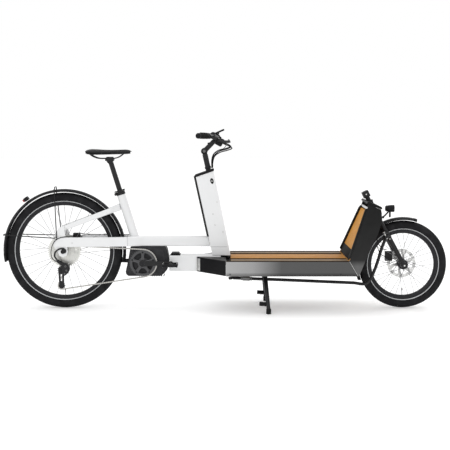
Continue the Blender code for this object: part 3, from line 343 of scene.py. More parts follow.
def make_reflective():
    """Reflective sidewall ring: pale woven tape under rubber."""
    made = Finish("reflective_ring", (0.50, 0.51, 0.52), 0.35, metallic=0.2)
    return made.bump(made.cells(1500.0), 0.00008)


def make_leather():
    """Synthetic leather: pebbled grain and creases, its shine varying in patches."""
    made = Finish("saddle_leather", (0.018, 0.018, 0.019), 0.55, shine=0.15)
    made.shader.inputs["Sheen Weight"].default_value = 0.04
    pebbles = made.cells(900.0)
    made.color(made.blend(made.ramp(pebbles, (0.1, 0.0), (0.7, 1.0)), (0.008, 0.008, 0.009),
                          (0.020, 0.020, 0.021)))
    made.roughness(made.noise(18.0, detail=5.0), 0.38, 0.62)
    made.bump(pebbles, 0.00025, 0.7)
    return made.bump(made.noise(120.0, (1, 3, 1), detail=5.0), 0.0003, 0.4)


def make_cast():
    """Die-cast motor housing with a fine powder coat."""
    made = moulded("motor_casting", (0.026, 0.026, 0.028), 0.45, grain=600.0, depth=0.00016)
    return made.bump(made.noise(60.0, detail=4.0), 0.0003, 0.4)


def make_glass(name, color, roughness):
    """A clear moulded lens with ribs behind it."""
    made = Finish(name, color, roughness, coat=1.0)
    made.shader.inputs["Transmission Weight"].default_value = 0.55
    wave = made.tree.nodes.new("ShaderNodeTexWave")
    wave.bands_direction = "Y"
    wave.inputs["Scale"].default_value = 60.0
    made.join(made.place, wave.inputs["Vector"])
    return made.bump(wave.outputs["Fac"], 0.0006, 0.6)


def make_screen():
    """Dark display glass."""
    made = Finish("display_glass", (0.012, 0.014, 0.016), 0.08, coat=1.0)
    made.roughness(made.noise(50.0, detail=6.0), 0.05, 0.16)
    return made.bump(made.noise(600.0), 0.00001)


WHITE = make_white()
BLACK = painted("black_frame_paint", (0.005, 0.005, 0.006), 0.36, peel=0.00006, dust=0.2, coat=0.0, shine=0.1)
SATIN = painted("black_satin_metal", (0.011, 0.011, 0.012), 0.36, peel=0.00008, dust=0.2, coat=0.05,
                shine=0.25)
# Grey lacquer of the deck's sides, with painted reflection and painted shade in its colour.
DECK_PAINT_AND_LIGHT = make_deck_side_paint_and_light()
BULKHEAD_PAINT = make_bulkhead_paint()
DECK_WOOD = veneer("deck_wood", (0.50, 0.245, 0.068), (0.36, 0.160, 0.036), "X")
STRIP_WOOD = veneer("deck_strip_wood", (0.25, 0.160, 0.080), (0.15, 0.095, 0.048), "X", weathering=0.4)
BULKHEAD_WOOD = veneer("bulkhead_wood", (0.62, 0.300, 0.050), (0.48, 0.205, 0.028), "Z")
PLY_EDGE = make_ply_edge()
PLASTIC = moulded("black_plastic", (0.011, 0.011, 0.012), 0.5)
GLOSS = painted("black_gloss", (0.007, 0.007, 0.008), 0.22, peel=0.00001, dust=0.1, coat=0.1, shine=0.3)
RUBBER = moulded("soft_rubber", (0.010, 0.010, 0.010), 0.8, grain=1400.0)
TYRE = make_tyre_rubber()
REFLECTIVE = make_reflective()
LEATHER = make_leather()
THREAD = moulded("stitch_thread", (0.07, 0.07, 0.07), 0.9, grain=2500.0)
CAST = make_cast()
STEEL = metal("bright_steel", (0.60, 0.60, 0.59), 0.28)
SPOKE = metal("spoke_steel", (0.24, 0.24, 0.25), 0.34, (1, 20, 1))
SPROCKET = metal("sprocket_steel", (0.66, 0.66, 0.63), 0.34, (1, 9, 1), depth=0.00005)
CHAIN = metal("chain_steel", (0.40, 0.39, 0.37), 0.35)
SILVER = metal("brushed_aluminium", (0.62, 0.62, 0.61), 0.32, (1, 12, 12), depth=0.00005)
# Dark brown of the lashing tracks, also used for strips of painted shade along the deck's edges.
TRACK_AND_SHADE_STRIP = painted("dark_track_and_shade_strip", (0.020, 0.009, 0.003), 0.6, dust=0.3, coat=0.0, shine=0.02)
ANODISED = metal("black_anodised", (0.030, 0.030, 0.032), 0.40, (1, 14, 1))
DARK_STEEL = metal("dark_steel", (0.15, 0.15, 0.15), 0.36)
GREY = metal("grey_anodised", (0.085, 0.085, 0.088), 0.34, (1, 14, 1))
CLEAR = make_glass("lamp_glass", (0.85, 0.87, 0.88), 0.06)
RED = make_glass("red_lens", (0.45, 0.012, 0.012), 0.10)
SCREEN = make_screen()


# ---------------------------------------------------------------- shapes, each one a bmesh

def settled(shape):
    bmesh.ops.remove_doubles(shape, verts=shape.verts, dist=0.000005)
    bmesh.ops.recalc_face_normals(shape, faces=shape.faces)
    return shape


def rows_joined(rows, closed_rows=True, capped=True):
    """A skin through rows of points; each row is a loop, and the rows may close on each other."""
    shape = bmesh.new()
    made = [[shape.verts.new(point) for point in row] for row in rows]
    count = len(made[0])
    pairs = list(zip(made, made[1:])) + ([(made[-1], made[0])] if not capped else [])
    for near, far in pairs:
        for k in range(count if closed_rows else count - 1):
            n = (k + 1) % count
            shape.faces.new((near[k], near[n], far[n], far[k]))
    if capped:
        shape.faces.new(list(reversed(made[0])))
        shape.faces.new(made[-1])
    return settled(shape)


def frame_of(direction):
    """Two unit vectors square to a direction."""
    direction = Vector(direction).normalized()
    first = direction.cross(LEFT if abs(direction.y) < 0.8 else UP).normalized()
    return first, direction.cross(first).normalized()


def rod(points, radius, sides=20, closed=False):
    """A round bar or tube along points; radius is one number, or one for each point."""
    points = [Vector(p) for p in points]
    count = len(points)
    radii = [radius] * count if isinstance(radius, (int, float)) else list(radius)
    first, second = frame_of(points[1] - points[0])
    rows = []
    for k, point in enumerate(points):
        before = points[k - 1] if k or closed else point
        after = points[(k + 1) % count] if k < count - 1 or closed else point
        heading = (after - before).normalized()
        first = (first - heading * first.dot(heading)).normalized()
        second = heading.cross(first).normalized()
        turns = [2 * math.pi * j / sides for j in range(sides)]
        rows.append([point + (first * math.cos(a) + second * math.sin(a)) * radii[k] for a in turns])
    return rows_joined(rows, capped=not closed)


def pin(start, end, radius, edge=0.0006, sides=24):
    """A round bar between two points with rounded rims."""
    start, end = Vector(start), Vector(end)
    along = (end - start).normalized()
    edge = min(edge, radius * 0.4, (end - start).length * 0.3)
    stops = [(start, radius - edge), (start + along * edge, radius), (end - along * edge, radius),
             (end, radius - edge)]
    return rod([p for p, r in stops], [r for p, r in stops], sides)


def smooth_route(points, steps=5, closed=False):
    """Points of a smooth curve through the given ones."""
    knots = [Vector(p) for p in points]
    if closed:
        knots = [knots[-1]] + knots + knots[:2]
    else:
        knots = [knots[0] * 2 - knots[1]] + knots + [knots[-1] * 2 - knots[-2]]
    route = []
    for a, b, c, d in zip(knots, knots[1:], knots[2:], knots[3:]):
        for k in range(steps):
            t = k / steps
            route.append(0.5 * (2 * b + (c - a) * t + (2 * a - 5 * b + 4 * c - d) * t ** 2
                                + (3 * b - a - 3 * c + d) * t ** 3))
    if not closed:
        route.append(knots[-2])
    return route


def turned(profile, centre, direction=LEFT, steps=64):
    """A closed loop of (radius, distance along the axis) points turned about an axis."""
    first, second = frame_of(direction)
    direction = Vector(direction).normalized()
    rows = []
    for k in range(steps):
        a = 2 * math.pi * k / steps
        outward = first * math.cos(a) + second * math.sin(a)
        rows.append([Vector(centre) + outward * r + direction * h for r, h in profile])
    return rows_joined(rows, capped=False)


def swept_arc(section, centre, start, end, steps):
    """A closed (radius, y) section swept about Y, angles in degrees from +X towards +Z, ends capped."""
    rows = []
    for k in range(steps + 1):
        a = math.radians(start + (end - start) * k / steps)
        rows.append([centre + Vector((r * math.cos(a), y, r * math.sin(a))) for r, y in section])
    return rows_joined(rows)


def slab(loops, low_y, high_y, edge=0.0):
    """A flat outline in the XZ plane, its first loop the edge and the others holes."""
    curve = bpy.data.curves.new("work", "CURVE")
    curve.dimensions = "2D"
    curve.fill_mode = "BOTH"
    curve.extrude = (high_y - low_y) / 2 - edge
    curve.bevel_depth = edge
    curve.bevel_resolution = 1
    curve.offset = -edge
    for loop in loops:
        spline = curve.splines.new("POLY")
        spline.points.add(len(loop) - 1)
        for target, point in zip(spline.points, loop):
            target.co = (point[0], point[1], 0.0, 1.0)
        spline.use_cyclic_u = True
    work = bpy.data.objects.new("work", curve)
    bpy.context.scene.collection.objects.link(work)
    mesh = bpy.data.meshes.new_from_object(work.evaluated_get(bpy.context.evaluated_depsgraph_get()))
    shape = bmesh.new()
    shape.from_mesh(mesh)
    bpy.data.objects.remove(work)
    bpy.data.curves.remove(curve)
    bpy.data.meshes.remove(mesh)
    place = Matrix.Translation((0, (low_y + high_y) / 2, 0)) @ Matrix.Rotation(math.pi / 2, 4, "X")
    bmesh.ops.transform(shape, matrix=place, verts=shape.verts)
    return settled(shape)


def brick(low, high, edge=0.002, segments=3):
    """A block with rounded edges."""
    low, high = Vector(low), Vector(high)
    shape = bmesh.new()
    bmesh.ops.create_cube(shape, size=1.0)
    bmesh.ops.scale(shape, vec=high - low, verts=shape.verts)
    bmesh.ops.translate(shape, vec=(low + high) / 2, verts=shape.verts)
    bmesh.ops.bevel(shape, geom=shape.edges[:], offset=edge, segments=segments, affect="EDGES", profile=0.5)
    return settled(shape)


def rounded(centre, across, up, half_across, half_up, power=2.0, count=24):
    """A loop between an ellipse (power 2) and a rounded rectangle (higher powers)."""
    loop = []
    for k in range(count):
        a = 2 * math.pi * k / count
        c, s = math.cos(a), math.sin(a)
        x = math.copysign(abs(c) ** (2 / power), c) * half_across
        z = math.copysign(abs(s) ** (2 / power), s) * half_up
        loop.append(Vector(centre) + across * x + up * z)
    return loop


def turned_by(shape, centre, degrees, letter="Y"):
    turn = Matrix.Rotation(math.radians(degrees), 4, letter)
    place = Matrix.Translation(centre) @ turn @ Matrix.Translation(-Vector(centre))
    bmesh.ops.transform(shape, matrix=place, verts=shape.verts)
    return shape


def placed(shape, centre, up, forward=None):
    """Moves a shape made about the origin so that its Z axis lies along up."""
    up = Vector(up).normalized()
    forward = Vector(forward) if forward is not None else frame_of(up)[0]
    forward = (forward - up * forward.dot(up)).normalized()
    side = up.cross(forward)
    turn = Matrix((forward, side, up)).transposed().to_4x4()
    bmesh.ops.transform(shape, matrix=Matrix.Translation(centre) @ turn, verts=shape.verts)
    return shape


def side_of(shape, side):
    """The shape itself for the left side (+1), its mirror image for the right (-1)."""
    if side < 0:
        bmesh.ops.scale(shape, vec=(1, -1, 1), verts=shape.verts)
        bmesh.ops.reverse_faces(shape, faces=shape.faces)
    return shape


def ring_of(centre, radius, count, phase=0.0):
    """Points (x, z) of a circle about a centre."""
    steps = [2 * math.pi * k / count + phase for k in range(count)]
    return [(centre.x + radius * math.cos(a), centre.z + radius * math.sin(a)) for a in steps]


def sector(centre, inner, outer, middle, half_angle, steps=8):
    """A window between two radii, as a loop of (x, z) points."""
    angles = [middle + half_angle * (2 * k / steps - 1) for k in range(steps + 1)]
    loop = [(centre.x + outer * math.cos(a), centre.z + outer * math.sin(a)) for a in angles]
    return loop + [(centre.x + inner * math.cos(a), centre.z + inner * math.sin(a)) for a in reversed(angles)]


def toothed(centre, root, tip, teeth):
    """The edge of a sprocket, as (x, z) points: four for each tooth."""
    loop = []
    for k in range(teeth):
        for part, radius in ((-0.30, root), (-0.10, tip), (0.10, tip), (0.30, root)):
            a = 2 * math.pi * (k + part) / teeth
            loop.append((centre.x + radius * math.cos(a), centre.z + radius * math.sin(a)))
    return loop


def bolt(head, outward, radius, height=None):
    """A socket head screw: a rounded head with a hexagonal recess."""
    height = height or radius * 0.8
    deep = radius * 0.35
    profile = [(0.0, -0.001), (radius, -0.001), (radius, height * 0.75), (radius * 0.85, height),
               (radius * 0.52, height), (radius * 0.52, height - deep), (0.0, height - deep)]
    return turned(profile, head, outward, 18)


# ---------------------------------------------------------------- pieces

def piece(name, parts, owner, stands_for=(), sharp=32.0):
    """One shown piece, made of (shape, finish) pairs, riding on a body of the frame."""
    finishes = []
    whole = bmesh.new()
    for shape, finish in parts:
        if finish not in finishes:
            finishes.append(finish)
        for face in shape.faces:
            face.material_index = finishes.index(finish)
        part = bpy.data.meshes.new("part")
        shape.to_mesh(part)
        shape.free()
        whole.from_mesh(part)
        bpy.data.meshes.remove(part)
    mesh = bpy.data.meshes.new(name)
    whole.to_mesh(mesh)
    whole.free()
    for finish in finishes:
        mesh.materials.append(finish.material)
    mesh.shade_smooth()
    mesh.set_sharp_from_angle(angle=math.radians(sharp))
    made = bpy.data.objects.new(name, mesh)
    bpy.context.scene.collection.objects.link(made)
    if owner:
        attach(made, owner)
    if stands_for:
        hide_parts(*stands_for)
    return made


def dress(node, finish, edge=0.0, segments=3):
    """Gives a CAD node its finish and, on request, rounded edges."""
    target = NODES[node]
    target.data.materials.clear()
    target.data.materials.append(finish.material)
    if edge:
        weld = target.modifiers.new("weld", "WELD")
        weld.merge_threshold = 0.00001
        bevel = target.modifiers.new("round", "BEVEL")
        bevel.width = edge
        bevel.segments = segments
        bevel.limit_method = "ANGLE"
        bevel.angle_limit = math.radians(32)
        bevel.harden_normals = True


# ---------------------------------------------------------------- wheels

def tyre_shape(axle, radius, ring_radius):
    """A tyre with a block tread, and its reflective ring as a second shape."""
    middle = radius - TYRE_HALF_WIDTH
    around = 2 * round(radius * 2 * math.pi / 0.0125)
    angles = [math.radians(a) for a in
              (-146, -138, -131, -118, -104, -90, -76, -62, -50, -39, -29, -20, -12, -5, 5, 12, 20, 29, 39,
               50, 62,
               76, 90, 104, 118, 131, 138, 146)]
    rows = []
    for k in range(around):
        row = []
        for a in angles:
            reach = TYRE_HALF_WIDTH
            degrees = abs(math.degrees(a))
            if degrees < 52:
                shift = round((degrees - 5) / 8)
                in_groove = (k + shift) % 4 == 0 and degrees > 8
                reach -= 0.0016 if in_groove or 11 < degrees < 21 else 0.0
            turn = 2 * math.pi * k / around
            r = middle + reach * math.cos(a)
            row.append(axle + Vector((r * math.cos(turn), reach * math.sin(a), r * math.sin(turn))))
        rows.append(row)
    shape = rows_joined(rows, capped=False)
    bands = []
    for side in (-1, 1):
        profile = []
        for offset in (0.0, 0.0042):
            drop = middle - ring_radius - offset
            wall = math.sqrt(max(0.0, TYRE_HALF_WIDTH ** 2 - drop ** 2))
            profile.append((middle - drop, side * (wall + 0.0005)))
        inner = [(r, y - side * 0.002) for r, y in reversed(profile)]
        bands.append((turned(profile + inner, axle, LEFT, 96), REFLECTIVE))
    return [(shape, TYRE)] + bands


def rim_seat(radius):
    """Radius of the rim where the tyre's beads sit."""
    return radius - TYRE_HALF_WIDTH * 1.78


def rim_shape(axle, radius):
    """A double-wall rim with hooked edges and a shallow valley for the tyre."""
    seat = rim_seat(radius)
    outer = [(seat + 0.004, -0.0162), (seat + 0.004, -0.0145), (seat - 0.004, -0.0140),
             (seat - 0.007, -0.004),
             (seat - 0.007, 0.004), (seat - 0.004, 0.0140), (seat + 0.004, 0.0145), (seat + 0.004, 0.0162)]
    inner = [(seat - 0.006, 0.0164), (seat - 0.016, 0.0135), (seat - 0.0225, 0.0085), (seat - 0.0245, 0.0),
             (seat - 0.0225, -0.0085), (seat - 0.016, -0.0135), (seat - 0.006, -0.0164)]
    return turned(outer + inner, axle, LEFT, 144)


def rotor_shape(axle, y):
    """A drilled brake disc on six swept arms."""
    holes = []
    for k in range(24):
        a = 2 * math.pi * k / 24
        for row, radius in enumerate((0.0845, 0.0795, 0.0745)):
            turn = a + row * 0.045
            at = Vector((axle.x + radius * math.cos(turn), 0, axle.z + radius * math.sin(turn)))
            holes.append(ring_of(at, 0.0017, 8))
    windows = []
    for k in range(6):
        inner = [(0.024, k * 60.0 + a) for a in (8, 20, 32, 44)]
        outer = [(0.0695, k * 60.0 + a + 24) for a in (48, 38, 28, 18, 8)]
        loop = [(axle.x + r * math.cos(math.radians(a)), axle.z + r * math.sin(math.radians(a)))
                for r, a in inner + outer]
        windows.append(loop)
    return slab([ring_of(axle, ROTOR_RADIUS, 96)] + windows + holes, y - 0.0009, y + 0.0009)


def spoke_shapes(axle, flanges, rim_radius, cross=58.0, count=32):
    """Crossed spokes with their elbows and nipples."""
    spokes, nipples = [], []
    for k in range(count):
        lead = 1 if (k // 2) % 2 else -1
        tip = 2 * math.pi * k / count
        root = tip + lead * math.radians(cross)
        y = flanges[k % 2] + (0.0012 if (k // 4) % 2 else -0.0012)
        start = axle + Vector((0.0265 * math.cos(root), y, 0.0265 * math.sin(root)))
        end = axle + Vector((rim_radius * math.cos(tip), 0.10 * y, rim_radius * math.sin(tip)))
        along = (end - start).normalized()
        spokes.append(rod([start, end], 0.0013, 8))
        nipples.append(pin(end - along * 0.012, end + along * 0.001, 0.0020, 0.0004, 8))
    return [(s, SPOKE) for s in spokes] + [(n, STEEL) for n in nipples]


def hub_shape(axle, low, high, flanges, body_radius):
    """A turned hub shell with two drilled flanges."""
    bore = 0.0072
    a, b = flanges
    profile = [(bore, low), (0.0125, low), (0.0145, low + 0.003), (0.0145, a - 0.006), (0.020, a - 0.003),
               (0.0298, a - 0.0016), (0.0305, a), (0.0298, a + 0.0016), (0.021, a + 0.003),
               (body_radius, a + 0.008), (body_radius, b - 0.008), (0.021, b - 0.003), (0.0298, b - 0.0016),
               (0.0305, b), (0.0298, b + 0.0016), (0.020, b + 0.003), (0.0145, b + 0.006),
               (0.0145, high - 0.003), (0.0125, high), (bore, high)]
    return turned(profile, axle, LEFT, 48)


def make_wheel(end, axle, radius, ring_radius, hub_half, flanges, rotor_y):
    owner = end + "_wheel"
    piece(end + "_tyre_tread", tyre_shape(axle, radius, ring_radius), owner, [end + "_tyre"])
    seat = rim_seat(radius)
    valve_foot = axle + Vector((0, 0, -(seat - 0.024)))
    valve = pin(valve_foot, valve_foot + UP * 0.032, 0.0029, 0.0005, 12)
    cap = pin(valve_foot + UP * 0.028, valve_foot + UP * 0.040, 0.0038, 0.001, 12)
    piece(end + "_rim_hoop", [(rim_shape(axle, radius), ANODISED), (valve, STEEL), (cap, PLASTIC)], owner,
          [end + "_rim"])
    parts = [(hub_shape(axle, hub_half[0], hub_half[1], flanges, 0.0175), ANODISED),
             (rotor_shape(axle, rotor_y), STEEL)]
    parts += spoke_shapes(axle, flanges, seat - 0.0235)
    for k in range(6):
        a = math.radians(60 * k + 14)
        at = axle + Vector((0.0215 * math.cos(a), rotor_y + 0.0009, 0.0215 * math.sin(a)))
        parts.append((bolt(at, LEFT, 0.0032), STEEL))
    piece(end + "_hub_and_spokes", parts, owner, [end + "_hub"])


def mudguard_section(outer, half=0.034, skin=0.0022):
    """A curved channel with rolled edges, as (radius, y) points."""
    top = []
    for k in range(13):
        t = -1 + 2 * k / 12
        top.append((outer - 0.014 * abs(t) ** 2.6, half * t))
    under = [(r - skin, y * (1 - skin / half * abs(y / half))) for r, y in reversed(top)]
    return top + under


def make_mudguards():
    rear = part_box("rear_mudguard")
    radius = rear[1].z - REAR_AXLE.z
    parts = [(swept_arc(mudguard_section(radius), REAR_AXLE, -11, 191, 110), PLASTIC)]
    for start, end in ((-11, -4), (183, 191)):
        parts.append((swept_arc(mudguard_section(radius + 0.0008, 0.0336, 0.0038), REAR_AXLE, start, end,
                                12), RUBBER))
    for degrees in (168, 100, 20):
        a = math.radians(degrees)
        outward = Vector((math.cos(a), 0, math.sin(a)))
        parts.append((bolt(REAR_AXLE + outward * (radius - 0.0005), outward, 0.0042), STEEL))
    piece("rear_mudguard_shell", parts, "frame", ["rear_mudguard"])
    radius = 0.288
    parts = [(swept_arc(mudguard_section(radius), FRONT_AXLE, 73, 200, 72), PLASTIC)]
    for start, end in ((73, 77), (192, 200)):
        parts.append((swept_arc(mudguard_section(radius + 0.0008, 0.0336, 0.0038), FRONT_AXLE, start, end,
                                8), RUBBER))
    piece("front_mudguard_shell", parts, "fork", ["front_mudguard"])


def make_mudguard_stays():
    wide, hip = 0.0385, 0.0985
    top, tail, foot = (-1.030, 0.7385), (-1.3435, 0.4475), (-1.012, 0.436)
    over = [(foot[0], hip, foot[1]), (top[0], wide + 0.004, 0.700), (top[0], wide, top[1] - 0.012),
            (top[0], wide - 0.010, top[1] - 0.001), (top[0], 0, top[1])]
    back = [(foot[0] - 0.010, hip, foot[1] - 0.001), (-1.310, wide + 0.004, 0.4465),
            (tail[0] + 0.003, wide, tail[1]),
            (tail[0] - 0.0035, wide - 0.010, tail[1]), (tail[0] - 0.0035, 0, tail[1])]
    parts = []
    for half in (over, back):
        mirror = [(x, -y, z) for x, y, z in reversed(half[:-1])]
        parts.append((rod(half + mirror, 0.0032, 12), SATIN))
    for _, side in SIDES:
        eye = Vector((foot[0] - 0.005, side * (hip - 0.002), foot[1] - 0.0005))
        parts.append((pin(eye - LEFT * 0.004, eye + LEFT * 0.004, 0.0075, 0.0008), ANODISED))
        parts.append((bolt(eye + LEFT * side * 0.004, LEFT * side, 0.0048), STEEL))
    piece("mudguard_stay_wires", parts, "frame", ["mudguard_stays"])


def make_rear_light():
    angle = math.radians(127)
    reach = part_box("rear_mudguard")[1].z - REAR_AXLE.z + 0.0145
    centre = REAR_AXLE + Vector((reach * math.cos(angle), 0, reach * math.sin(angle)))
    tilt = 90 - math.degrees(angle)
    base = brick(centre - Vector((0.010, 0.026, 0.011)), centre + Vector((0.018, 0.026, 0.011)), 0.004)
    lens = brick(centre - Vector((0.018, 0.0235, 0.009)), centre + Vector((-0.008, 0.0235, 0.0085)), 0.003)
    piece("rear_light_lamp", [(turned_by(base, centre, tilt), PLASTIC), (turned_by(lens, centre, tilt), RED)],
          "frame", ["rear_light"])


# ---------------------------------------------------------------- drive

def belt_line(pulleys, steps=24):
    """The pitch line of a chain round (centre, radius, sense) pulleys, sense -1 for rightward turns."""
    headings, line = [], []
    count = len(pulleys)
    for k in range(count):
        (a, ra, sa), (b, rb, sb) = pulleys[k], pulleys[(k + 1) % count]
        reach = b - a
        across = math.hypot(reach.x, reach.z)
        headings.append(math.atan2(reach.z, reach.x) - math.asin((rb * sb - ra * sa) / across))
    for k in range(count):
        centre, radius, sense = pulleys[k]
        first, last = headings[k - 1], headings[k]
        while (last - first) * sense < 0:
            last += 2 * math.pi * sense
        for j in range(steps + 1):
            a = first + (last - first) * j / steps
            line.append(Vector((centre.x + math.sin(a) * radius * sense, CHAIN_Y,
                                centre.z - math.cos(a) * radius * sense)))
    return line


def spaced(line, spacing):
    """Points at an even spacing along a closed line, the spacing stretched to fit a whole even number."""
    closed = line + [line[0]]
    lengths = [(b - a).length for a, b in zip(closed, closed[1:])]
    total = sum(lengths)
    count = 2 * round(total / spacing / 2)
    stops, walked, k = [], 0.0, 0
    for j in range(count):
        goal = total * j / count
        while walked + lengths[k] < goal:
            walked += lengths[k]
            k += 1
        stops.append(closed[k].lerp(closed[k + 1], (goal - walked) / max(lengths[k], 1e-9)))
    return stops


def link_plate(a, b, y, thick=0.0010, wide=0.0042, waist=0.0030):
    """A waisted side plate between two pins."""
    along = b - a
    heading = math.atan2(along.z, along.x)
    middle = (a + b) / 2
    loop = []
    for centre, first in ((a, 90), (b, -90)):
        for k in range(7):
            turn = heading + math.radians(first + 30 * k)
            loop.append((centre.x + wide * math.cos(turn), centre.z + wide * math.sin(turn)))
        side = heading + math.radians(-90 if centre is a else 90)
        loop.append((middle.x + waist * math.cos(side), middle.z + waist * math.sin(side)))
    shape = bmesh.new()
    low = [shape.verts.new((x, y - thick / 2, z)) for x, z in loop]
    high = [shape.verts.new((x, y + thick / 2, z)) for x, z in loop]
    for k in range(len(loop)):
        n = (k + 1) % len(loop)
        shape.faces.new((low[k], low[n], high[n], high[k]))
    shape.faces.new(list(reversed(low)))
    shape.faces.new(high)
    return settled(shape)


def make_chain():
    pulleys = [(REAR_AXLE, COG_RADIUS, -1), (CRANK_AXIS, CHAINRING_RADIUS, -1),
               (TENSION_PULLEY, PULLEY_RADIUS, -1), (GUIDE_PULLEY, PULLEY_RADIUS, 1)]
    stops = spaced(belt_line(pulleys), LINK)
    parts = []
    for k, (a, b) in enumerate(zip(stops, stops[1:] + stops[:1])):
        spread = 0.0030 if k % 2 else 0.0019
        for side in (-1, 1):
            parts.append((link_plate(a, b, CHAIN_Y + side * spread), CHAIN))
        parts.append((pin(a - LEFT * 0.0036, a + LEFT * 0.0036, 0.0019, 0.0003, 8), STEEL))
    piece("chain_links", parts, "frame", ["chain"], sharp=25)


def make_cassette():
    """Nine sprockets, the largest inside, each a little thinner than its space."""
    step = -0.0045
    first = CHAIN_Y - 7 * step
    last = first + 8 * step
    teeth = [50, 43, 37, 32, 27, 23, 20, 17, 15]
    parts = []
    for k, count in enumerate(teeth):
        y = first + step * k
        pitch = LINK / (2 * math.sin(math.pi / count))
        root, tip = pitch - 0.0042, pitch + 0.0016
        loops = [toothed(REAR_AXLE, root, tip, count), ring_of(REAR_AXLE, 0.0155, 24)]
        if count > 22:
            for j in range(9):
                middle = 2 * math.pi * j / 9 + 0.2 * k
                loops.append(sector(REAR_AXLE, root * 0.50, root * 0.88, middle, 0.25))
        parts.append((slab(loops, y - 0.0008, y + 0.0008), SPROCKET))
    spacer = [(0.0155, first), (0.0215, first), (0.0215, last), (0.0155, last)]
    parts.append((turned(spacer, REAR_AXLE, LEFT, 36), ANODISED))
    ring = [(0.0152, last - 0.0045), (0.0205, last - 0.0045), (0.0220, last - 0.0030), (0.0220, last),
            (0.0152, last)]
    parts.append((turned(ring, REAR_AXLE, LEFT, 36), STEEL))
    piece("cassette_sprockets", parts, "cassette", ["cassette"], sharp=25)


def crank_arm(root, tip, y_in, y_out):
    """A forged arm, deepest at the spindle, with a fluted face."""
    rows = []
    for k in range(13):
        t = k / 12
        at = Vector(root).lerp(Vector(tip), t)
        half_up = 0.0195 - 0.0080 * math.sin(math.pi * min(1.0, t * 1.15) / 2)
        middle = (y_in + y_out) / 2
        half_y = abs(y_out - y_in) / 2
        rows.append(rounded(Vector((at.x, middle, at.z)), LEFT, UP, half_y, half_up, 3.2, 24))
    return rows_joined(rows)


def make_cranks():
    boss = CRANK_AXIS + FORWARD * CRANK_LENGTH
    back = CRANK_AXIS - FORWARD * CRANK_LENGTH
    root = CHAINRING_RADIUS - 0.0052
    windows = [sector(CRANK_AXIS, 0.032, 0.063, math.radians(72 * k + 54), math.radians(25))
               for k in range(5)]
    ring = slab([toothed(CRANK_AXIS, root, CHAINRING_RADIUS + 0.0012, 42)] + windows, CHAIN_Y - 0.0013,
                CHAIN_Y + 0.0013)
    guard = turned([(0.0640, -0.0068), (0.0775, -0.0068), (0.0790, -0.0052), (0.0775, -0.0038),
                    (0.0640, -0.0038)],
                   CRANK_AXIS + LEFT * CHAIN_Y, LEFT, 96)
    parts = [(ring, GREY), (guard, GREY)]
    for k in range(5):
        a = math.radians(72 * k + 18)
        heading = Vector((math.cos(a), 0, math.sin(a)))
        rows = []
        for distance, half in ((0.010, 0.014), (0.030, 0.010), (0.050, 0.0075), (0.066, 0.0085),
                               (0.070, 0.0075)):
            at = CRANK_AXIS + heading * distance + LEFT * (CHAIN_Y - 0.0085)
            rows.append(rounded(at, LEFT, heading.cross(LEFT), 0.0035, half, 3.0, 16))
        parts.append((rows_joined(rows), GREY))
        parts.append((bolt(CRANK_AXIS + heading * 0.066 + LEFT * (CHAIN_Y - 0.0115), -LEFT, 0.0050),
                      ANODISED))
    y_in, y_out = -0.067, -0.081
    parts.append((crank_arm(CRANK_AXIS, boss, y_in, y_out), SATIN))
    parts.append((pin(CRANK_AXIS + LEFT * y_out, CRANK_AXIS + LEFT * -0.050, 0.0205, 0.002, 36), SATIN))
    parts.append((pin(CRANK_AXIS + LEFT * -0.052, CRANK_AXIS + LEFT * 0.0625, 0.0116, 0.001), STEEL))
    eye = [(0.0066, -0.0812), (0.0115, -0.0812), (0.0140, -0.0795), (0.0140, -0.0685), (0.0115, -0.0668),
           (0.0066, -0.0668)]
    parts.append((turned(eye, boss, LEFT, 36), SATIN))
    cap = CRANK_AXIS + LEFT * y_out
    parts.append((turned([(0, 0), (0.0115, 0), (0.0115, 0.0014), (0.0085, 0.0022), (0.0045, 0.0022),
                          (0.0045, 0.0006),
                          (0, 0.0006)], cap, -LEFT, 30), ANODISED))
    piece("chainring_and_crank", parts, "crank", ["crankset"])

    parts = [(crank_arm(CRANK_AXIS + FORWARD * 0.004, back, 0.0635, 0.078), SATIN)]
    parts.append((pin(CRANK_AXIS + LEFT * 0.0633, CRANK_AXIS + LEFT * 0.078, 0.0190, 0.002, 36), SATIN))
    eye = [(r, -y - 0.003) for r, y in eye]
    parts.append((turned(eye, back, LEFT, 36), SATIN))
    parts.append((bolt(CRANK_AXIS + LEFT * 0.078, LEFT, 0.0085, 0.0015), ANODISED))
    piece("left_crank_arm", parts, "crank", ["crank_left"])


def make_pedal(name, side, centre):
    """A platform pedal: rounded cage, a grip deck with studs, and a turned axle."""
    inner, outer = 0.092, 0.186
    parts = []
    for x in (-0.041, 0.041):
        bar = brick(centre + Vector((x - 0.004, inner, -0.010)), centre + Vector((x + 0.004, outer, 0.010)),
                    0.002)
        parts.append((bar, PLASTIC))
    for y in (inner + 0.005, outer - 0.005):
        end = brick(centre + Vector((-0.043, y - 0.005, -0.009)), centre + Vector((0.043, y + 0.005, 0.009)),
                    0.002)
        parts.append((end, PLASTIC))
    parts.append((pin(centre + LEFT * (inner + 0.002), centre + LEFT * (outer - 0.004), 0.0105, 0.001, 24),
                  PLASTIC))
    parts.append((pin(centre + LEFT * 0.0665, centre + LEFT * (inner + 0.01), 0.0060, 0.0008), STEEL))
    parts.append((pin(centre + LEFT * 0.083, centre + LEFT * 0.090, 0.0080, 0.0008, 6), STEEL))
    for x in (-0.041, 0.041):
        for k in range(6):
            y = inner + 0.011 + k * (outer - inner - 0.022) / 5
            at = centre + Vector((x, y, 0))
            parts.append((pin(at - UP * 0.0122, at + UP * 0.0122, 0.0017, 0.0004, 8), STEEL))
    parts = [(side_of(shape, side), finish) for shape, finish in parts]
    piece("pedal_cage_" + name, parts, "pedal_" + name, ["pedal_" + name])


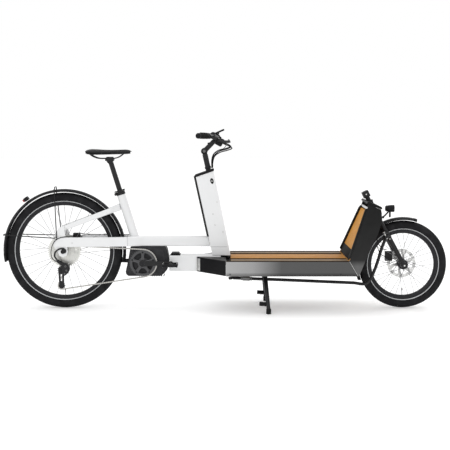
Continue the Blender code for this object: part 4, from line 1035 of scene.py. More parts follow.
def make_pulleys():
    for name, centre in (("guide_pulley", GUIDE_PULLEY), ("tension_pulley", TENSION_PULLEY)):
        holes = [ring_of(centre + Vector((0.0095 * math.cos(a), 0, 0.0095 * math.sin(a))), 0.0020, 10)
                 for a in [2 * math.pi * k / 5 for k in range(5)]]
        loops = [toothed(centre, PULLEY_RADIUS - 0.0046, PULLEY_RADIUS + 0.0006, 11),
                 ring_of(centre, 0.0043, 16)] + holes
        piece(name + "_wheel", [(slab(loops, CHAIN_Y - 0.0012, CHAIN_Y + 0.0012), PLASTIC)], name, [name],
              sharp=25)


def make_derailleur():
    outer_y, inner_y = CHAIN_Y - 0.0085, CHAIN_Y + 0.0085
    parts = []
    for y in (outer_y, inner_y):
        rim = []
        for centre, first, radius in ((GUIDE_PULLEY, 0, 0.0165), (TENSION_PULLEY, 180, 0.0145)):
            for k in range(13):
                a = math.radians(first + 15 * k)
                rim.append((centre.x + radius * math.cos(a), centre.z + radius * math.sin(a)))
        middle = (GUIDE_PULLEY + TENSION_PULLEY) / 2
        slot = [(middle.x + x, middle.z + z) for x, z in
                ((-0.006, 0.020), (0.006, 0.020), (0.0045, -0.022), (-0.0045, -0.022))]
        parts.append((slab([rim, slot], y - 0.0009, y + 0.0009), SATIN))
    for at in (GUIDE_PULLEY, TENSION_PULLEY):
        parts.append((pin(Vector((at.x, outer_y - 0.0010, at.z)), Vector((at.x, inner_y + 0.0010, at.z)),
                          0.0035), STEEL))
        parts.append((bolt(Vector((at.x, outer_y - 0.0009, at.z)), -LEFT, 0.0048, 0.002), ANODISED))
    shell = [(-0.944, 0.268), (-0.937, 0.247), (-0.948, 0.222), (-0.970, 0.205), (-0.984, 0.215),
             (-0.980, 0.238),
             (-0.988, 0.256), (-0.985, 0.280), (-0.970, 0.284), (-0.956, 0.280)]
    outline = [(p.x, p.z) for p in smooth_route([(x, 0, z) for x, z in shell], 4, closed=True)]
    parts.append((slab([outline], -0.0905, -0.0635, 0.003), SATIN))
    for x, z, radius in ((-0.962, 0.264, 0.0060), (-0.957, 0.238, 0.0055), (-0.968, 0.218, 0.0050)):
        parts.append((bolt(Vector((x, -0.0902, z)), -LEFT, radius, 0.0022), DARK_STEEL))
    hanger = Vector((-0.970, 0, 0.357))
    parts.append((pin(hanger - LEFT * 0.0960, hanger - LEFT * 0.0885, 0.0150, 0.002, 32), SATIN))
    parts.append((bolt(hanger - LEFT * 0.0960, -LEFT, 0.0075, 0.002), ANODISED))
    link = smooth_route([(-0.968, -0.0925, 0.3715), (-0.994, -0.0920, 0.3703), (-1.0190, -0.0910, 0.3535),
                         (-1.0270, -0.0890, 0.3270), (-1.0090, -0.0850, 0.2950)], 5)
    parts.append((rod(link, 0.0050, 16), SATIN))
    swing = [Vector((-1.012, -0.0840, 0.2985)), Vector((-1.004, -0.0830, 0.2910)),
             Vector((-0.979, -0.0810, 0.2750)),
             Vector((-0.955, -0.0800, 0.2530))]
    parts.append((rod(swing, [0.0085, 0.0110, 0.0120, 0.0100], 20), SATIN))
    stop = Vector((-1.0165, -0.086, 0.292))
    parts.append((pin(stop, stop + Vector((-0.012, 0, 0.006)), 0.0042, 0.001, 12), DARK_STEEL))
    piece("derailleur_body", parts, "frame", ["derailleur"])
    cable = smooth_route([stop + Vector((-0.010, 0, 0.005)), (-1.043, -0.0875, 0.315),
                          (-1.048, -0.0900, 0.350),
                          (-1.038, -0.0925, 0.395), (-1.008, -0.0930, 0.430), (-0.955, -0.0900, 0.4432),
                          (-0.860, -0.0825, 0.4425)])
    piece("shift_cable", [(rod(cable, 0.0024, 12), RUBBER)], "frame", ())


def make_motor_details():
    """Side cover, bearing collar, cooling ribs and cover screws of the motor."""
    low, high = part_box("motor")
    dress("motor", CAST, 0.0015, 2)
    parts = []
    for side, y in ((-1, low.y), (1, high.y)):
        collar = [(0.0135, -0.002), (0.0300, -0.002), (0.0300, 0.0010), (0.0275, 0.0022), (0.0185, 0.0022),
                  (0.0160, 0.0006),
                  (0.0135, 0.0006)]
        reach = 0.92 if side < 0 else 1.0
        parts.append((turned([(r * reach, h) for r, h in collar], CRANK_AXIS + LEFT * y, LEFT * side, 48),
                      ANODISED))
        for x, z in ((-0.575, 0.365), (-0.375, 0.365), (-0.362, 0.300), (-0.380, 0.222), (-0.588, 0.222),
                     (-0.580, 0.300),
                     (-0.470, 0.366)):
            parts.append((bolt(Vector((x, y, z)), LEFT * side, 0.0042, 0.0018), ANODISED))
    for k in range(6):
        x = -0.445 + 0.014 * k
        parts.append((brick((x, low.y + 0.012, 0.1945), (x + 0.005, high.y - 0.012, 0.2005), 0.001, 2), CAST))
    cover = [(-0.556, 0.236), (-0.566, 0.350), (-0.545, 0.368), (-0.400, 0.368), (-0.372, 0.345),
             (-0.366, 0.262),
             (-0.384, 0.222), (-0.410, 0.212), (-0.538, 0.212)]
    hole = ring_of(CRANK_AXIS, 0.034, 40)
    parts.append((slab([cover, hole], low.y - 0.0012, low.y + 0.001, 0.0008), CAST))
    parts.append((slab([cover, hole], high.y - 0.001, high.y + 0.0016, 0.0008), CAST))
    piece("motor_covers", parts, "frame", ())


# ---------------------------------------------------------------- frame

def make_frame():
    dress("main_beam", WHITE, 0.006)
    dress("column_shell", WHITE, 0.004)
    dress("lower_box", WHITE, 0.005)
    for label, _ in SIDES:
        dress("chainstay_" + label, WHITE, 0.0045)
        dress("seatstay_" + label, WHITE, 0.004)
        dress("deck_shoulder_" + label, BLACK, 0.002)
        dress("deck_side_" + label, DECK_PAINT_AND_LIGHT, 0.0015)
        dress("bulkhead_side_" + label, BULKHEAD_PAINT, 0.0015)
    dress("deck_frame", BLACK, 0.0015)
    dress("bulkhead_cap", BULKHEAD_PAINT, 0.002)
    dress("bulkhead_board", BULKHEAD_WOOD, 0.0008)
    for node in ("rear_caliper", "front_caliper"):
        dress(node, SATIN, 0.0025)


def make_seat_tube():
    rows = []
    for k in range(13):
        t = k / 12
        at = SEAT_TUBE_FOOT.lerp(SEAT_TUBE_TOP, t)
        across = FORWARD.lerp(SEAT_ACROSS, t).normalized()
        rows.append(rounded(at, across, LEFT, 0.0272 - 0.0012 * t, 0.024, 2.2, 40))
    collar = [rounded(SEAT_TUBE_TOP + SEAT_UP * d, SEAT_ACROSS, LEFT, 0.0282 - e, 0.0262 - e, 2.1, 40)
              for d, e in ((-0.017, 0.001), (-0.016, 0.0), (0.003, 0.0), (0.004, 0.001))]
    ears = SEAT_TUBE_TOP + SEAT_UP * -0.006 - SEAT_ACROSS * 0.029
    clamp = brick((-0.009, -0.011, -0.007), (0.004, 0.011, 0.007), 0.002)
    lug = LEVER_PIVOT - SEAT_UP * 0.0165
    parts = [(rows_joined(rows), WHITE), (rows_joined(collar), SATIN),
             (placed(clamp, ears, SEAT_UP, SEAT_ACROSS), SATIN),
             (pin(lug, LEVER_PIVOT - SEAT_UP * 0.001, 0.0068, 0.0008), SATIN)]
    bead = [rounded(SEAT_TUBE_TOP + SEAT_UP * (-0.017 + 0.0006 * k), SEAT_ACROSS, LEFT, 0.0272 - 0.0004 * k,
                    0.0252 - 0.0004 * k, 2.1, 40)
            for k in (-1, 0)]
    parts.append((rows_joined(bead), SILVER))
    piece("seat_tube_and_collar", parts, "frame", ["seat_tube"])


def make_head_tube():
    """Steering bearing barrel on its upright, with the two bearing cups."""
    spine = []
    for k in range(9):
        t = k / 8
        low, high = Vector((0.766, 0, 0.300)), Vector((0.8843, 0, 0.600))
        spine.append(rounded(low.lerp(high, t), FORWARD, LEFT, 0.0162 + 0.0014 * t, 0.030 - 0.006 * t, 6.0,
                             32))
    a, b = 0.3425, 0.4395
    barrel = [(0.0155, a), (0.0205, a), (0.0224, a + 0.001), (0.0224, a + 0.012), (0.0205, a + 0.016),
              (0.0205, b - 0.016),
              (0.0224, b - 0.012), (0.0224, b - 0.001), (0.0205, b), (0.0155, b)]
    cups = [[(0.0155, h), (0.0232, h), (0.0232, h + 0.006), (0.0155, h + 0.006)]
            for h in (a + 0.001, b - 0.007)]
    parts = [(rows_joined(spine), BLACK), (turned(barrel, FORK_FOOT, FORK_UP, 48), BLACK)]
    parts += [(turned(cup, FORK_FOOT, FORK_UP, 48), ANODISED) for cup in cups]
    piece("head_tube_and_cups", parts, "frame", ["head_tube"])


def rear_edge(z):
    """X of the column's rear edge at a height."""
    return -0.1005 - (z - 0.438) * 0.2179


def make_frame_fittings():
    """Screws, plates, seams, caps and cable guides fixed to the white frame."""
    parts = []
    side = COLUMN_SIDE
    for x, z, radius in ((-0.0483, 0.6505, 0.0040), (-0.0724, 0.578, 0.0040), (-0.0603, 0.5117, 0.0040),
                         (-0.0121, 0.4695, 0.0045), (-0.0935, 0.4031, 0.0045)):
        for sign in (-1, 1):
            parts.append((bolt(Vector((x, sign * side, z)), LEFT * sign, radius, 0.0016), STEEL))
    for sign in (-1, 1):
        lock = Vector((-0.0784, sign * side, 0.777))
        plate = [rounded(lock + LEFT * sign * d, SHAFT_UP, LEFT.cross(SHAFT_UP), 0.0175 - e, 0.0098 - e, 2.0,
                         32)
                 for d, e in ((-0.001, 0.0), (0.0012, 0.0), (0.0018, 0.0008))]
        parts.append((rows_joined(plate), PLASTIC))
        parts.append((bolt(lock + LEFT * sign * 0.0012, LEFT * sign, 0.0045, 0.0014), STEEL))
        corners = ((0.806, -0.0010), (0.806, 0.0045), (0.441, 0.0045), (0.441, -0.0010))
        edge = [(rear_edge(z) + shift, z) for z, shift in corners]
        near, far = sorted((sign * (side - 0.0002), sign * (side + 0.0012)))
        parts.append((slab([edge], near, far, 0.0004), GLOSS))
        y = sign * (side + 0.0002)
        seam = brick((-0.150, y - 0.0004, 0.3785), (0.012, y + 0.0004, 0.3797), 0.0003, 1)
        parts.append((seam, ANODISED))
    parts.append((brick((-0.326, -0.045, 0.3200), (-0.278, 0.045, 0.3395), 0.005, 4), PLASTIC))
    parts.append((brick((-0.332, -0.049, 0.3215), (-0.272, 0.049, 0.3285), 0.002, 3), RUBBER))
    for sign in (-1, 1):
        near, far = sorted((sign * 0.0607, sign * 0.0715))
        parts.append((brick((-0.1735, near, 0.2285), (-0.1695, far, 0.3205), 0.0008, 2), SILVER))
        for z in (0.248, 0.300):
            parts.append((bolt(Vector((-0.1735, sign * 0.066, z)), -FORWARD, 0.0035, 0.0016), STEEL))
        slope = Vector((0.1745, sign * 0.200, 0)).normalized()
        face = Vector((-0.1585, sign * 0.0815, 0.2740))
        plate = placed(brick((-0.0125, -0.0010, -0.0370), (0.0125, 0.0010, 0.0370), 0.0006, 2), face, UP,
                       slope)
        parts.append((plate, SILVER))
    for x, y, z in ((-0.956, 0.0898, 0.4895), (-0.920, 0.0898, 0.405), (-0.716, 0.0565, 0.586)):
        for sign in (-1, 1):
            parts.append((bolt(Vector((x, sign * y, z)), LEFT * sign, 0.0042, 0.0018), STEEL))
    for sign in (-1, 1):
        nut = REAR_AXLE + LEFT * sign * 0.0875
        parts.append((turned([(0, -0.001), (0.0130, -0.001), (0.0130, 0.0035), (0.0110, 0.0055),
                              (0.0050, 0.0055), (0.0050, 0.003),
                              (0, 0.003)], nut, LEFT * sign, 32), SATIN))
    weld = [rounded(SEAT_TUBE_FOOT + SEAT_UP * d, FORWARD, LEFT, 0.0285 - abs(d) * 0.6,
                    0.0255 - abs(d) * 0.6, 2.2, 40)
            for d in (-0.0005, 0.0015, 0.0035)]
    parts.append((rows_joined(weld), WHITE))
    piece("frame_fittings", parts, "frame")


def make_column_top():
    """Black cap over the column's sloping top, with the shaft's dust collar."""
    hole_at = SHAFT_FOOT + SHAFT_UP * 0.647
    collar = [(0.0192, -0.006), (0.0265, -0.006), (0.0265, 0.004), (0.0235, 0.0075), (0.0192, 0.0075)]
    parts = [(turned(collar, hole_at, SHAFT_UP, 48), PLASTIC)]
    rear, front = Vector((-0.1790, 0, 0.8110)), Vector((-0.0745, 0, 0.8475))
    rows = [rear.lerp(front, k / 8) for k in range(9)]
    slope = (rows[-1] - rows[0]).normalized()
    normal = LEFT.cross(slope).normalized() * -1
    if normal.z < 0:
        normal = -normal
    drop = normal * 0.013
    low_edge = rows[0] - slope * 0.0045 + normal * 0.0015
    high_edge = rows[-1] + slope * 0.0055 + normal * 0.0015
    skirt = [(p.x, p.z) for p in (low_edge, high_edge, high_edge - drop, low_edge - drop)]
    for sign in (-1, 1):
        strip = [rounded(p + LEFT * sign * 0.041 + normal * 0.0008, LEFT, normal, 0.0175, 0.0018, 5.0, 16)
                 for p in rows]
        near, far = sorted((sign * (COLUMN_SIDE - 0.0002), sign * (COLUMN_SIDE + 0.0022)))
        parts += [(rows_joined(strip), PLASTIC), (slab([skirt], near, far, 0.0008), PLASTIC)]
        trim = [p - drop * 1.12 for p in (rows[0], rows[-1])]
        parts.append((rod([p + LEFT * sign * (COLUMN_SIDE + 0.0003) for p in trim], 0.0010, 8), SILVER))
    piece("column_top_cap", parts, "frame", ())


def make_battery():
    """Gloss rear cover of the column with its parting line and release catch."""
    dress("battery", GLOSS, 0.002)
    low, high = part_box("battery")
    foot, top = pivot("battery_tilt"), Vector((low.x + 0.006, 0, high.z - 0.006))
    heading = (top - foot).normalized()
    outward = Vector((-heading.z, 0, heading.x)).normalized()
    if outward.x > 0:
        outward = -outward
    parts = []
    for d in (0.045, 0.170, 0.300):
        at = foot + heading * d - outward * 0.0002
        line = brick((-0.0010, -0.0585, -0.0006), (0.0010, 0.0585, 0.0006), 0.0004, 1)
        parts.append((placed(line, at, heading, outward), SATIN))
    catch = foot + heading * 0.345
    latch = brick((-0.002, -0.016, -0.007), (0.0022, 0.016, 0.007), 0.0018, 3)
    parts.append((placed(latch, catch, heading, outward), PLASTIC))
    piece("battery_trim", parts, "battery", ())


# ---------------------------------------------------------------- load deck and bulkhead

def make_deck():
    """Three plywood strips with two lashing tracks let in between them."""
    low, high = DECK_LOW, DECK_HIGH
    parts = []
    for y_low, y_high, finish in ((-0.2330, -0.1505, STRIP_WOOD), (-0.1075, 0.1075, DECK_WOOD),
                                  (0.1505, 0.2330, STRIP_WOOD)):
        board = brick((low.x, y_low, low.z + 0.0004), (high.x, y_high, high.z), 0.0008, 2)
        edge = brick((low.x - 0.0002, y_low - 0.0002, low.z + 0.001),
                     (high.x + 0.0002, y_high + 0.0002, high.z - 0.0012), 0.0004, 1)
        parts += [(board, finish), (edge, PLY_EDGE)]
    for sign in (-1, 1):
        # Dark strip filling the gap between the boards and the side panel: painted shade.
        near, far = sorted((sign * 0.2335, sign * 0.2615))
        parts.append((brick((low.x, near, low.z + 0.0005), (high.x, far, high.z - 0.0002), 0.0008, 2), TRACK_AND_SHADE_STRIP))
        near, far = sorted((sign * 0.1080, sign * 0.1500))
        parts.append((brick((low.x, near, low.z + 0.0005), (high.x, far, high.z - 0.0065), 0.0005, 1), TRACK_AND_SHADE_STRIP))
        for y in (near + 0.0060, far - 0.0060):
            parts.append((brick((low.x, y - 0.0060, high.z - 0.0080), (high.x, y + 0.0060, high.z + 0.0008),
                                0.0012, 2), TRACK_AND_SHADE_STRIP))
        count = 22
        for k in range(count):
            x = low.x + 0.020 + k * (high.x - low.x - 0.040) / (count - 1)
            at = Vector((x, sign * 0.129, high.z - 0.0066))
            parts.append((turned([(0.0035, 0), (0.0058, 0), (0.0058, 0.0010), (0.0052, 0.0014),
                                  (0.0035, 0.0014)], at, UP, 14), ANODISED))
    for x in (0.060, 0.250, 0.450, 0.660):
        for y in (-0.215, -0.160, -0.060, 0.060, 0.160, 0.215):
            parts.append((bolt(Vector((x, y, high.z - 0.0012)), UP, 0.0045, 0.0013), SATIN))
    piece("deck_boards", parts, "frame", ["deck_board"])
    # Dark caps over the side panels' top rims: painted shade.
    strips = []
    for sign in (-1, 1):
        near, far = sorted((sign * 0.2605, sign * 0.2703))
        strips.append((brick((SIDE_LOW.x + 0.001, near, SIDE_HIGH.z - 0.0015),
                             (0.7285, far, SIDE_HIGH.z + 0.0018),
                             0.0008, 2), TRACK_AND_SHADE_STRIP))
    piece("deck_edge_shade_caps", strips, "frame", ())


def make_deck_fittings():
    """Screws and edge trims of the deck's side panels and the bulkhead."""
    parts = []
    half = -SIDE_LOW.y
    for sign in (-1, 1):
        for x in (0.030, 0.680):
            parts.append((bolt(Vector((x, sign * half, 0.240)), LEFT * sign, 0.0042, 0.0014), ANODISED))
        top = Vector((0.7302, sign * (half + 0.0004), 0.3150))
        foot = Vector((0.7818, sign * (half + 0.0004), 0.2275))
        parts.append((rod([foot + (top - foot) * 0.02, top - (top - foot) * 0.02], 0.0011, 8), SILVER))
    piece("deck_fittings", parts, "frame", ())
    lean, back = BOARD_UP, BOARD_BACK
    trims = []
    foot = BOARD_FOOT + lean * 0.030
    kick = brick((-0.0012, -0.2255, -0.028), (0.0012, 0.2255, 0.030), 0.0008, 2)
    trims.append((placed(kick, foot + back * 0.0014, lean, -back), RUBBER))
    trims.append((brick((0.7262, -0.2600, 0.3146), (0.7288, 0.2600, 0.3166), 0.0006, 2), BULKHEAD_WOOD))
    for sign in (-1, 1):
        rows = []
        for z in (0.330, 0.335, 0.400, 0.500, 0.600, 0.614):
            reach = 0.0045 if z in (0.330, 0.614) else 0.0088
            face = Vector((BOARD_FOOT.x + (z - BOARD_FOOT.z) * BOARD_LEAN,
                           sign * (0.2615 - (z - 0.315) * 0.393 - 0.0075), z))
            rows.append(rounded(face + back * 0.0050, back, LEFT, reach, 0.0072, 4.0, 20))
        trims.append((rows_joined(rows), BULKHEAD_PAINT))
    rail = brick((-0.004, -0.136, -0.004), (0.003, 0.136, 0.010), 0.0015, 2)
    head = BOARD_FOOT + lean * 0.318
    trims.append((placed(rail, head + back * 0.0015 + Vector((0.004, 0, 0)), lean, -back), SILVER))
    piece("bulkhead_trims", trims, "frame", ())


# ---------------------------------------------------------------- seat

def make_seatpost():
    foot = SEAT_TUBE_TOP - SEAT_UP * 0.100
    post = rod([foot, foot + SEAT_UP * 0.001, POST_TOP - SEAT_UP * 0.012, POST_TOP],
               [0.0145, 0.0154, 0.0154, 0.0154], 40)
    head = brick((POST_TOP.x - 0.028, -0.0265, POST_TOP.z - 0.006),
                 (POST_TOP.x + 0.025, 0.0265, POST_TOP.z + 0.010), 0.004, 4)
    knuckle = pin(POST_TOP + Vector((0, -0.020, -0.006)), POST_TOP + Vector((0, 0.020, -0.006)), 0.0175,
                  0.002, 36)
    parts = [(post, SATIN), (head, SATIN), (knuckle, SATIN)]
    for side in (-1, 1):
        y = side * 0.022
        route = smooth_route([(-0.815, y * 1.45, 0.9365), (-0.790, y * 1.3, 0.921), (-0.760, y, 0.912),
                              (-0.715, y, 0.9115),
                              (-0.670, y, 0.912), (-0.640, y * 0.9, 0.921), (-0.615, y * 0.62, 0.9385)], 6)
        parts.append((rod(route, 0.0035, 14), ANODISED))
        clamp = brick((POST_TOP.x - 0.021, y - 0.006, 0.9085), (POST_TOP.x + 0.019, y + 0.006, 0.9205),
                      0.003, 3)
        parts.append((clamp, SATIN))
    for x in (-0.026, 0.024):
        at = POST_TOP + Vector((x * 0.75, 0, -0.006))
        parts.append((bolt(at, -UP, 0.0050), STEEL))
    for k in range(14):
        at = SEAT_TUBE_TOP + SEAT_UP * (0.012 + 0.010 * k)
        mark = brick((-0.0003, -0.004, -0.0003), (0.0003, 0.004, 0.0003), 0.0001, 1)
        mark = placed(mark, at - SEAT_ACROSS * 0.0154, SEAT_UP, SEAT_ACROSS)
        parts.append((mark, SILVER))
    piece("seatpost_and_rails", parts, "seatpost", ["seatpost"])


def saddle_loop(x, half, low, high, shrink=0.0, count=40):
    """One domed section of the saddle's pad."""
    loop = []
    for k in range(count):
        a = 2 * math.pi * k / count
        c, s = math.cos(a), math.sin(a)
        y = math.copysign(abs(c) ** 0.78, c) * (half - shrink)
        middle = low + 0.38 * (high - low)
        up = (high - shrink - middle) * abs(s) ** 0.85 if s > 0 else -(middle - low - shrink) * abs(s) ** 0.6
        loop.append(Vector((x, y, middle + up)))
    return loop


SADDLE = [(-0.8440, 0.030, 0.9500, 0.9610), (-0.8400, 0.047, 0.9455, 0.9640),
          (-0.8300, 0.062, 0.9410, 0.9662),
          (-0.8050, 0.0735, 0.9380, 0.9672), (-0.7700, 0.0695, 0.9378, 0.9655),
          (-0.7300, 0.0520, 0.9386, 0.9632),
          (-0.6900, 0.0345, 0.9396, 0.9622), (-0.6400, 0.0245, 0.9406, 0.9632),
          (-0.5950, 0.0212, 0.9420, 0.9650),
          (-0.5740, 0.0170, 0.9440, 0.9642), (-0.5670, 0.0100, 0.9475, 0.9610)]


def inflated(pad, cap=0.0032, frames=20):
    """The pad's cover, blown up a little from inside by a short cloth simulation."""
    scene = bpy.context.scene
    remesh = pad.modifiers.new("even", "REMESH")
    remesh.mode = "VOXEL"
    remesh.voxel_size = 0.004
    graph = bpy.context.evaluated_depsgraph_get()
    even = bpy.data.meshes.new_from_object(pad.evaluated_get(graph))
    pad.modifiers.remove(remesh)
    pad.data = even
    rest = [v.co.copy() for v in even.vertices]
    cloth = pad.modifiers.new("cloth", "CLOTH")
    cloth.settings.use_pressure = True
    cloth.settings.uniform_pressure_force = 4.0
    cloth.settings.tension_stiffness = 40.0
    cloth.settings.compression_stiffness = 40.0
    cloth.settings.effector_weights.gravity = 0.0
    cloth.point_cache.frame_end = frames
    for number in range(1, frames + 1):
        scene.frame_set(number)
    graph = bpy.context.evaluated_depsgraph_get()
    blown = bpy.data.meshes.new_from_object(pad.evaluated_get(graph))
    pad.modifiers.remove(cloth)
    pad.data = blown
    scene.frame_set(1)
    for vertex, start in zip(blown.vertices, rest):
        step = vertex.co - start
        if step.length > cap:
            vertex.co = start + step.normalized() * cap
    smooth = pad.modifiers.new("relax", "SMOOTH")
    smooth.factor = 0.6
    smooth.iterations = 6
    divide = pad.modifiers.new("fine", "SUBSURF")
    divide.levels = 1
    divide.render_levels = 1
    graph = bpy.context.evaluated_depsgraph_get()
    done = bpy.data.meshes.new_from_object(pad.evaluated_get(graph))
    pad.modifiers.clear()
    pad.data = done
    return pad


def make_saddle():
    """Padded cover, its stitched seam, and the moulded base under it."""
    rows = [saddle_loop(*station, shrink=0.0026) for station in SADDLE]
    pad = piece("saddle_pad", [(rows_joined(rows), LEATHER)], None)
    inflated(pad)
    pad.data.materials.clear()
    pad.data.materials.append(LEATHER.material)
    pad.data.shade_smooth()
    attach(pad, "seatpost")
    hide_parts("saddle")
    seam = []
    for x, half, low, high in SADDLE[1:]:
        seam.append(Vector((x, half - 0.0010, low + 0.46 * (high - low))))
    loop = smooth_route(seam + [Vector((p.x, -p.y, p.z)) for p in reversed(seam)], 6, closed=True)
    stitches = []
    lengths = 0.0
    for near, far in zip(loop, loop[1:] + loop[:1]):
        lengths += (far - near).length
        if lengths > 0.006:
            lengths = 0.0
            along = (far - near).normalized()
            outward = along.cross(UP) * (1 if near.y * along.cross(UP).y > 0 else -1)
            centre = near + outward * 0.0004 + UP * 0.0018
            stitches.append((rod([centre - along * 0.0018, centre, centre + along * 0.0018],
                                 [0.0003, 0.0006, 0.0003], 6), THREAD))
    piping = rod(loop, 0.0014, 10, closed=True)
    base_rows = [saddle_loop(x, half * 0.93, low - 0.0045, low + 0.010, count=32) for x, half, low,
                 high in SADDLE[1:-1]]
    piece("saddle_base_and_seam", [(rows_joined(base_rows), PLASTIC), (piping, LEATHER)] + stitches,
          "seatpost", ())


def make_seat_lever():
    start = LEVER_PIVOT + SEAT_UP * 0.005
    route = [start, start + SEAT_ACROSS * 0.010 - LEFT * 0.012, start + SEAT_ACROSS * 0.030 - LEFT * 0.016,
             start + SEAT_ACROSS * 0.062 - LEFT * 0.014]
    line = smooth_route(route, 6)
    radii = [0.0046 - 0.0012 * math.sin(math.pi * k / (len(line) - 1)) for k in range(len(line))]
    hub = pin(LEVER_PIVOT, LEVER_PIVOT + SEAT_UP * 0.010, 0.0070, 0.001)
    piece("seat_clamp_lever", [(rod(line, radii, 16), SATIN), (hub, STEEL)], "seat_lever", ["seat_lever"])


# ---------------------------------------------------------------- steering

def make_steering_shaft():
    route = [SHAFT_FOOT, SHAFT_FOOT + SHAFT_UP * 0.656, SHAFT_FOOT + SHAFT_UP * 0.658,
             STEM_PIVOT - SHAFT_UP * 0.0215]
    parts = [(rod(route, [0.0140, 0.0140, 0.0165, 0.0165], 36), SATIN)]
    for side in (-1, 1):
        near, far = side * 0.0127, side * 0.0215
        parts.append((pin(STEM_PIVOT + LEFT * near, STEM_PIVOT + LEFT * far, 0.0200, 0.0015, 40), SATIN))
        web = brick((-0.014, min(near, far), -0.050), (0.014, max(near, far), 0.0), 0.002, 3)
        parts.append((placed_upright(web, STEM_PIVOT), SATIN))
        parts.append((bolt(STEM_PIVOT + LEFT * far, LEFT * side, 0.0085, 0.003), DARK_STEEL))
    reach = SHAFT_FOOT + SHAFT_UP * 0.010
    arm = brick((reach.x - 0.013, ROD_END.y - 0.012, 0.2090), (reach.x + 0.011, 0.004, 0.2190), 0.003, 3)
    stud = pin(ROD_END - SHAFT_UP * 0.010, ROD_END + SHAFT_UP * 0.018, 0.0060, 0.0006)
    nut = pin(ROD_END + SHAFT_UP * 0.0240, ROD_END + SHAFT_UP * 0.0300, 0.0085, 0.0008, 6)
    parts += [(arm, SATIN), (stud, STEEL), (nut, STEEL)]
    collar = SHAFT_FOOT + SHAFT_UP * 0.668
    parts.append((pin(collar, collar + SHAFT_UP * 0.012, 0.0195, 0.002, 36), ANODISED))
    piece("steering_shaft_and_arm", parts, "steering", ["steering_shaft"])


def placed_upright(shape, centre):
    """Moves a shape made about the origin onto the leaning steering shaft."""
    forward = Vector((SHAFT_UP.z, 0, -SHAFT_UP.x))
    return placed(shape, centre, SHAFT_UP, forward)


def make_stem():
    neck = BAR_CLAMP - STEM_PIVOT
    rows = []
    for k in range(11):
        t = k / 10
        at = STEM_PIVOT + neck * (0.12 + 0.80 * t)
        wide = 0.0120 + 0.0042 * math.sin(math.pi * min(1.0, t * 1.4) / 2)
        rows.append(rounded(at, LEFT, neck.normalized().cross(LEFT), wide, 0.0150 - 0.001 * t, 2.8, 28))
    parts = [(rows_joined(rows), SATIN)]
    parts.append((pin(STEM_PIVOT - LEFT * 0.0120, STEM_PIVOT + LEFT * 0.0120, 0.0195, 0.0012, 40), SATIN))
    ring = [(0.0123, -0.022), (0.0182, -0.022), (0.0195, -0.0205), (0.0195, 0.0205), (0.0182, 0.022),
            (0.0123, 0.022)]
    parts.append((turned(ring, BAR_CLAMP, LEFT, 44), SATIN))
    ahead = neck.normalized()
    for y in (-0.015, 0.015):
        for lift in (-0.0145, 0.0145):
            at = BAR_CLAMP + LEFT * y + ahead.cross(LEFT) * lift + ahead * 0.010
            parts.append((pin(at - ahead * 0.012, at + ahead * 0.007, 0.0042, 0.0006, 16), SATIN))
            parts.append((bolt(at + ahead * 0.007, ahead, 0.0034, 0.002), STEEL))
    gapline = [(0.0120, -0.0006), (0.0199, -0.0006), (0.0199, 0.0006), (0.0120, 0.0006)]
    for y in (-0.0225, 0.0225):
        parts.append((turned(gapline, BAR_CLAMP + LEFT * y, LEFT, 44), ANODISED))
    parts.append((pin(STEM_PIVOT + Vector((0.032, -0.004, 0.030)),
                      STEM_PIVOT + Vector((0.026, -0.004, 0.052)), 0.0080, 0.002), PLASTIC))
    piece("stem_and_clamp", parts, "cockpit", ["stem"])


def bar_route():
    half = [BAR_CLAMP, BAR_CLAMP + LEFT * 0.045, Vector((-0.050, 0.080, 1.040)),
            Vector((-0.062, 0.125, 1.0455)),
            Vector((-0.0745, 0.162, 1.0463)), GRIP_INNER, GRIP_INNER.lerp(GRIP_OUTER, 0.5),
            GRIP_INNER.lerp(GRIP_OUTER, 0.985)]
    return [Vector((p.x, -p.y, p.z)) for p in reversed(half[1:])] + half


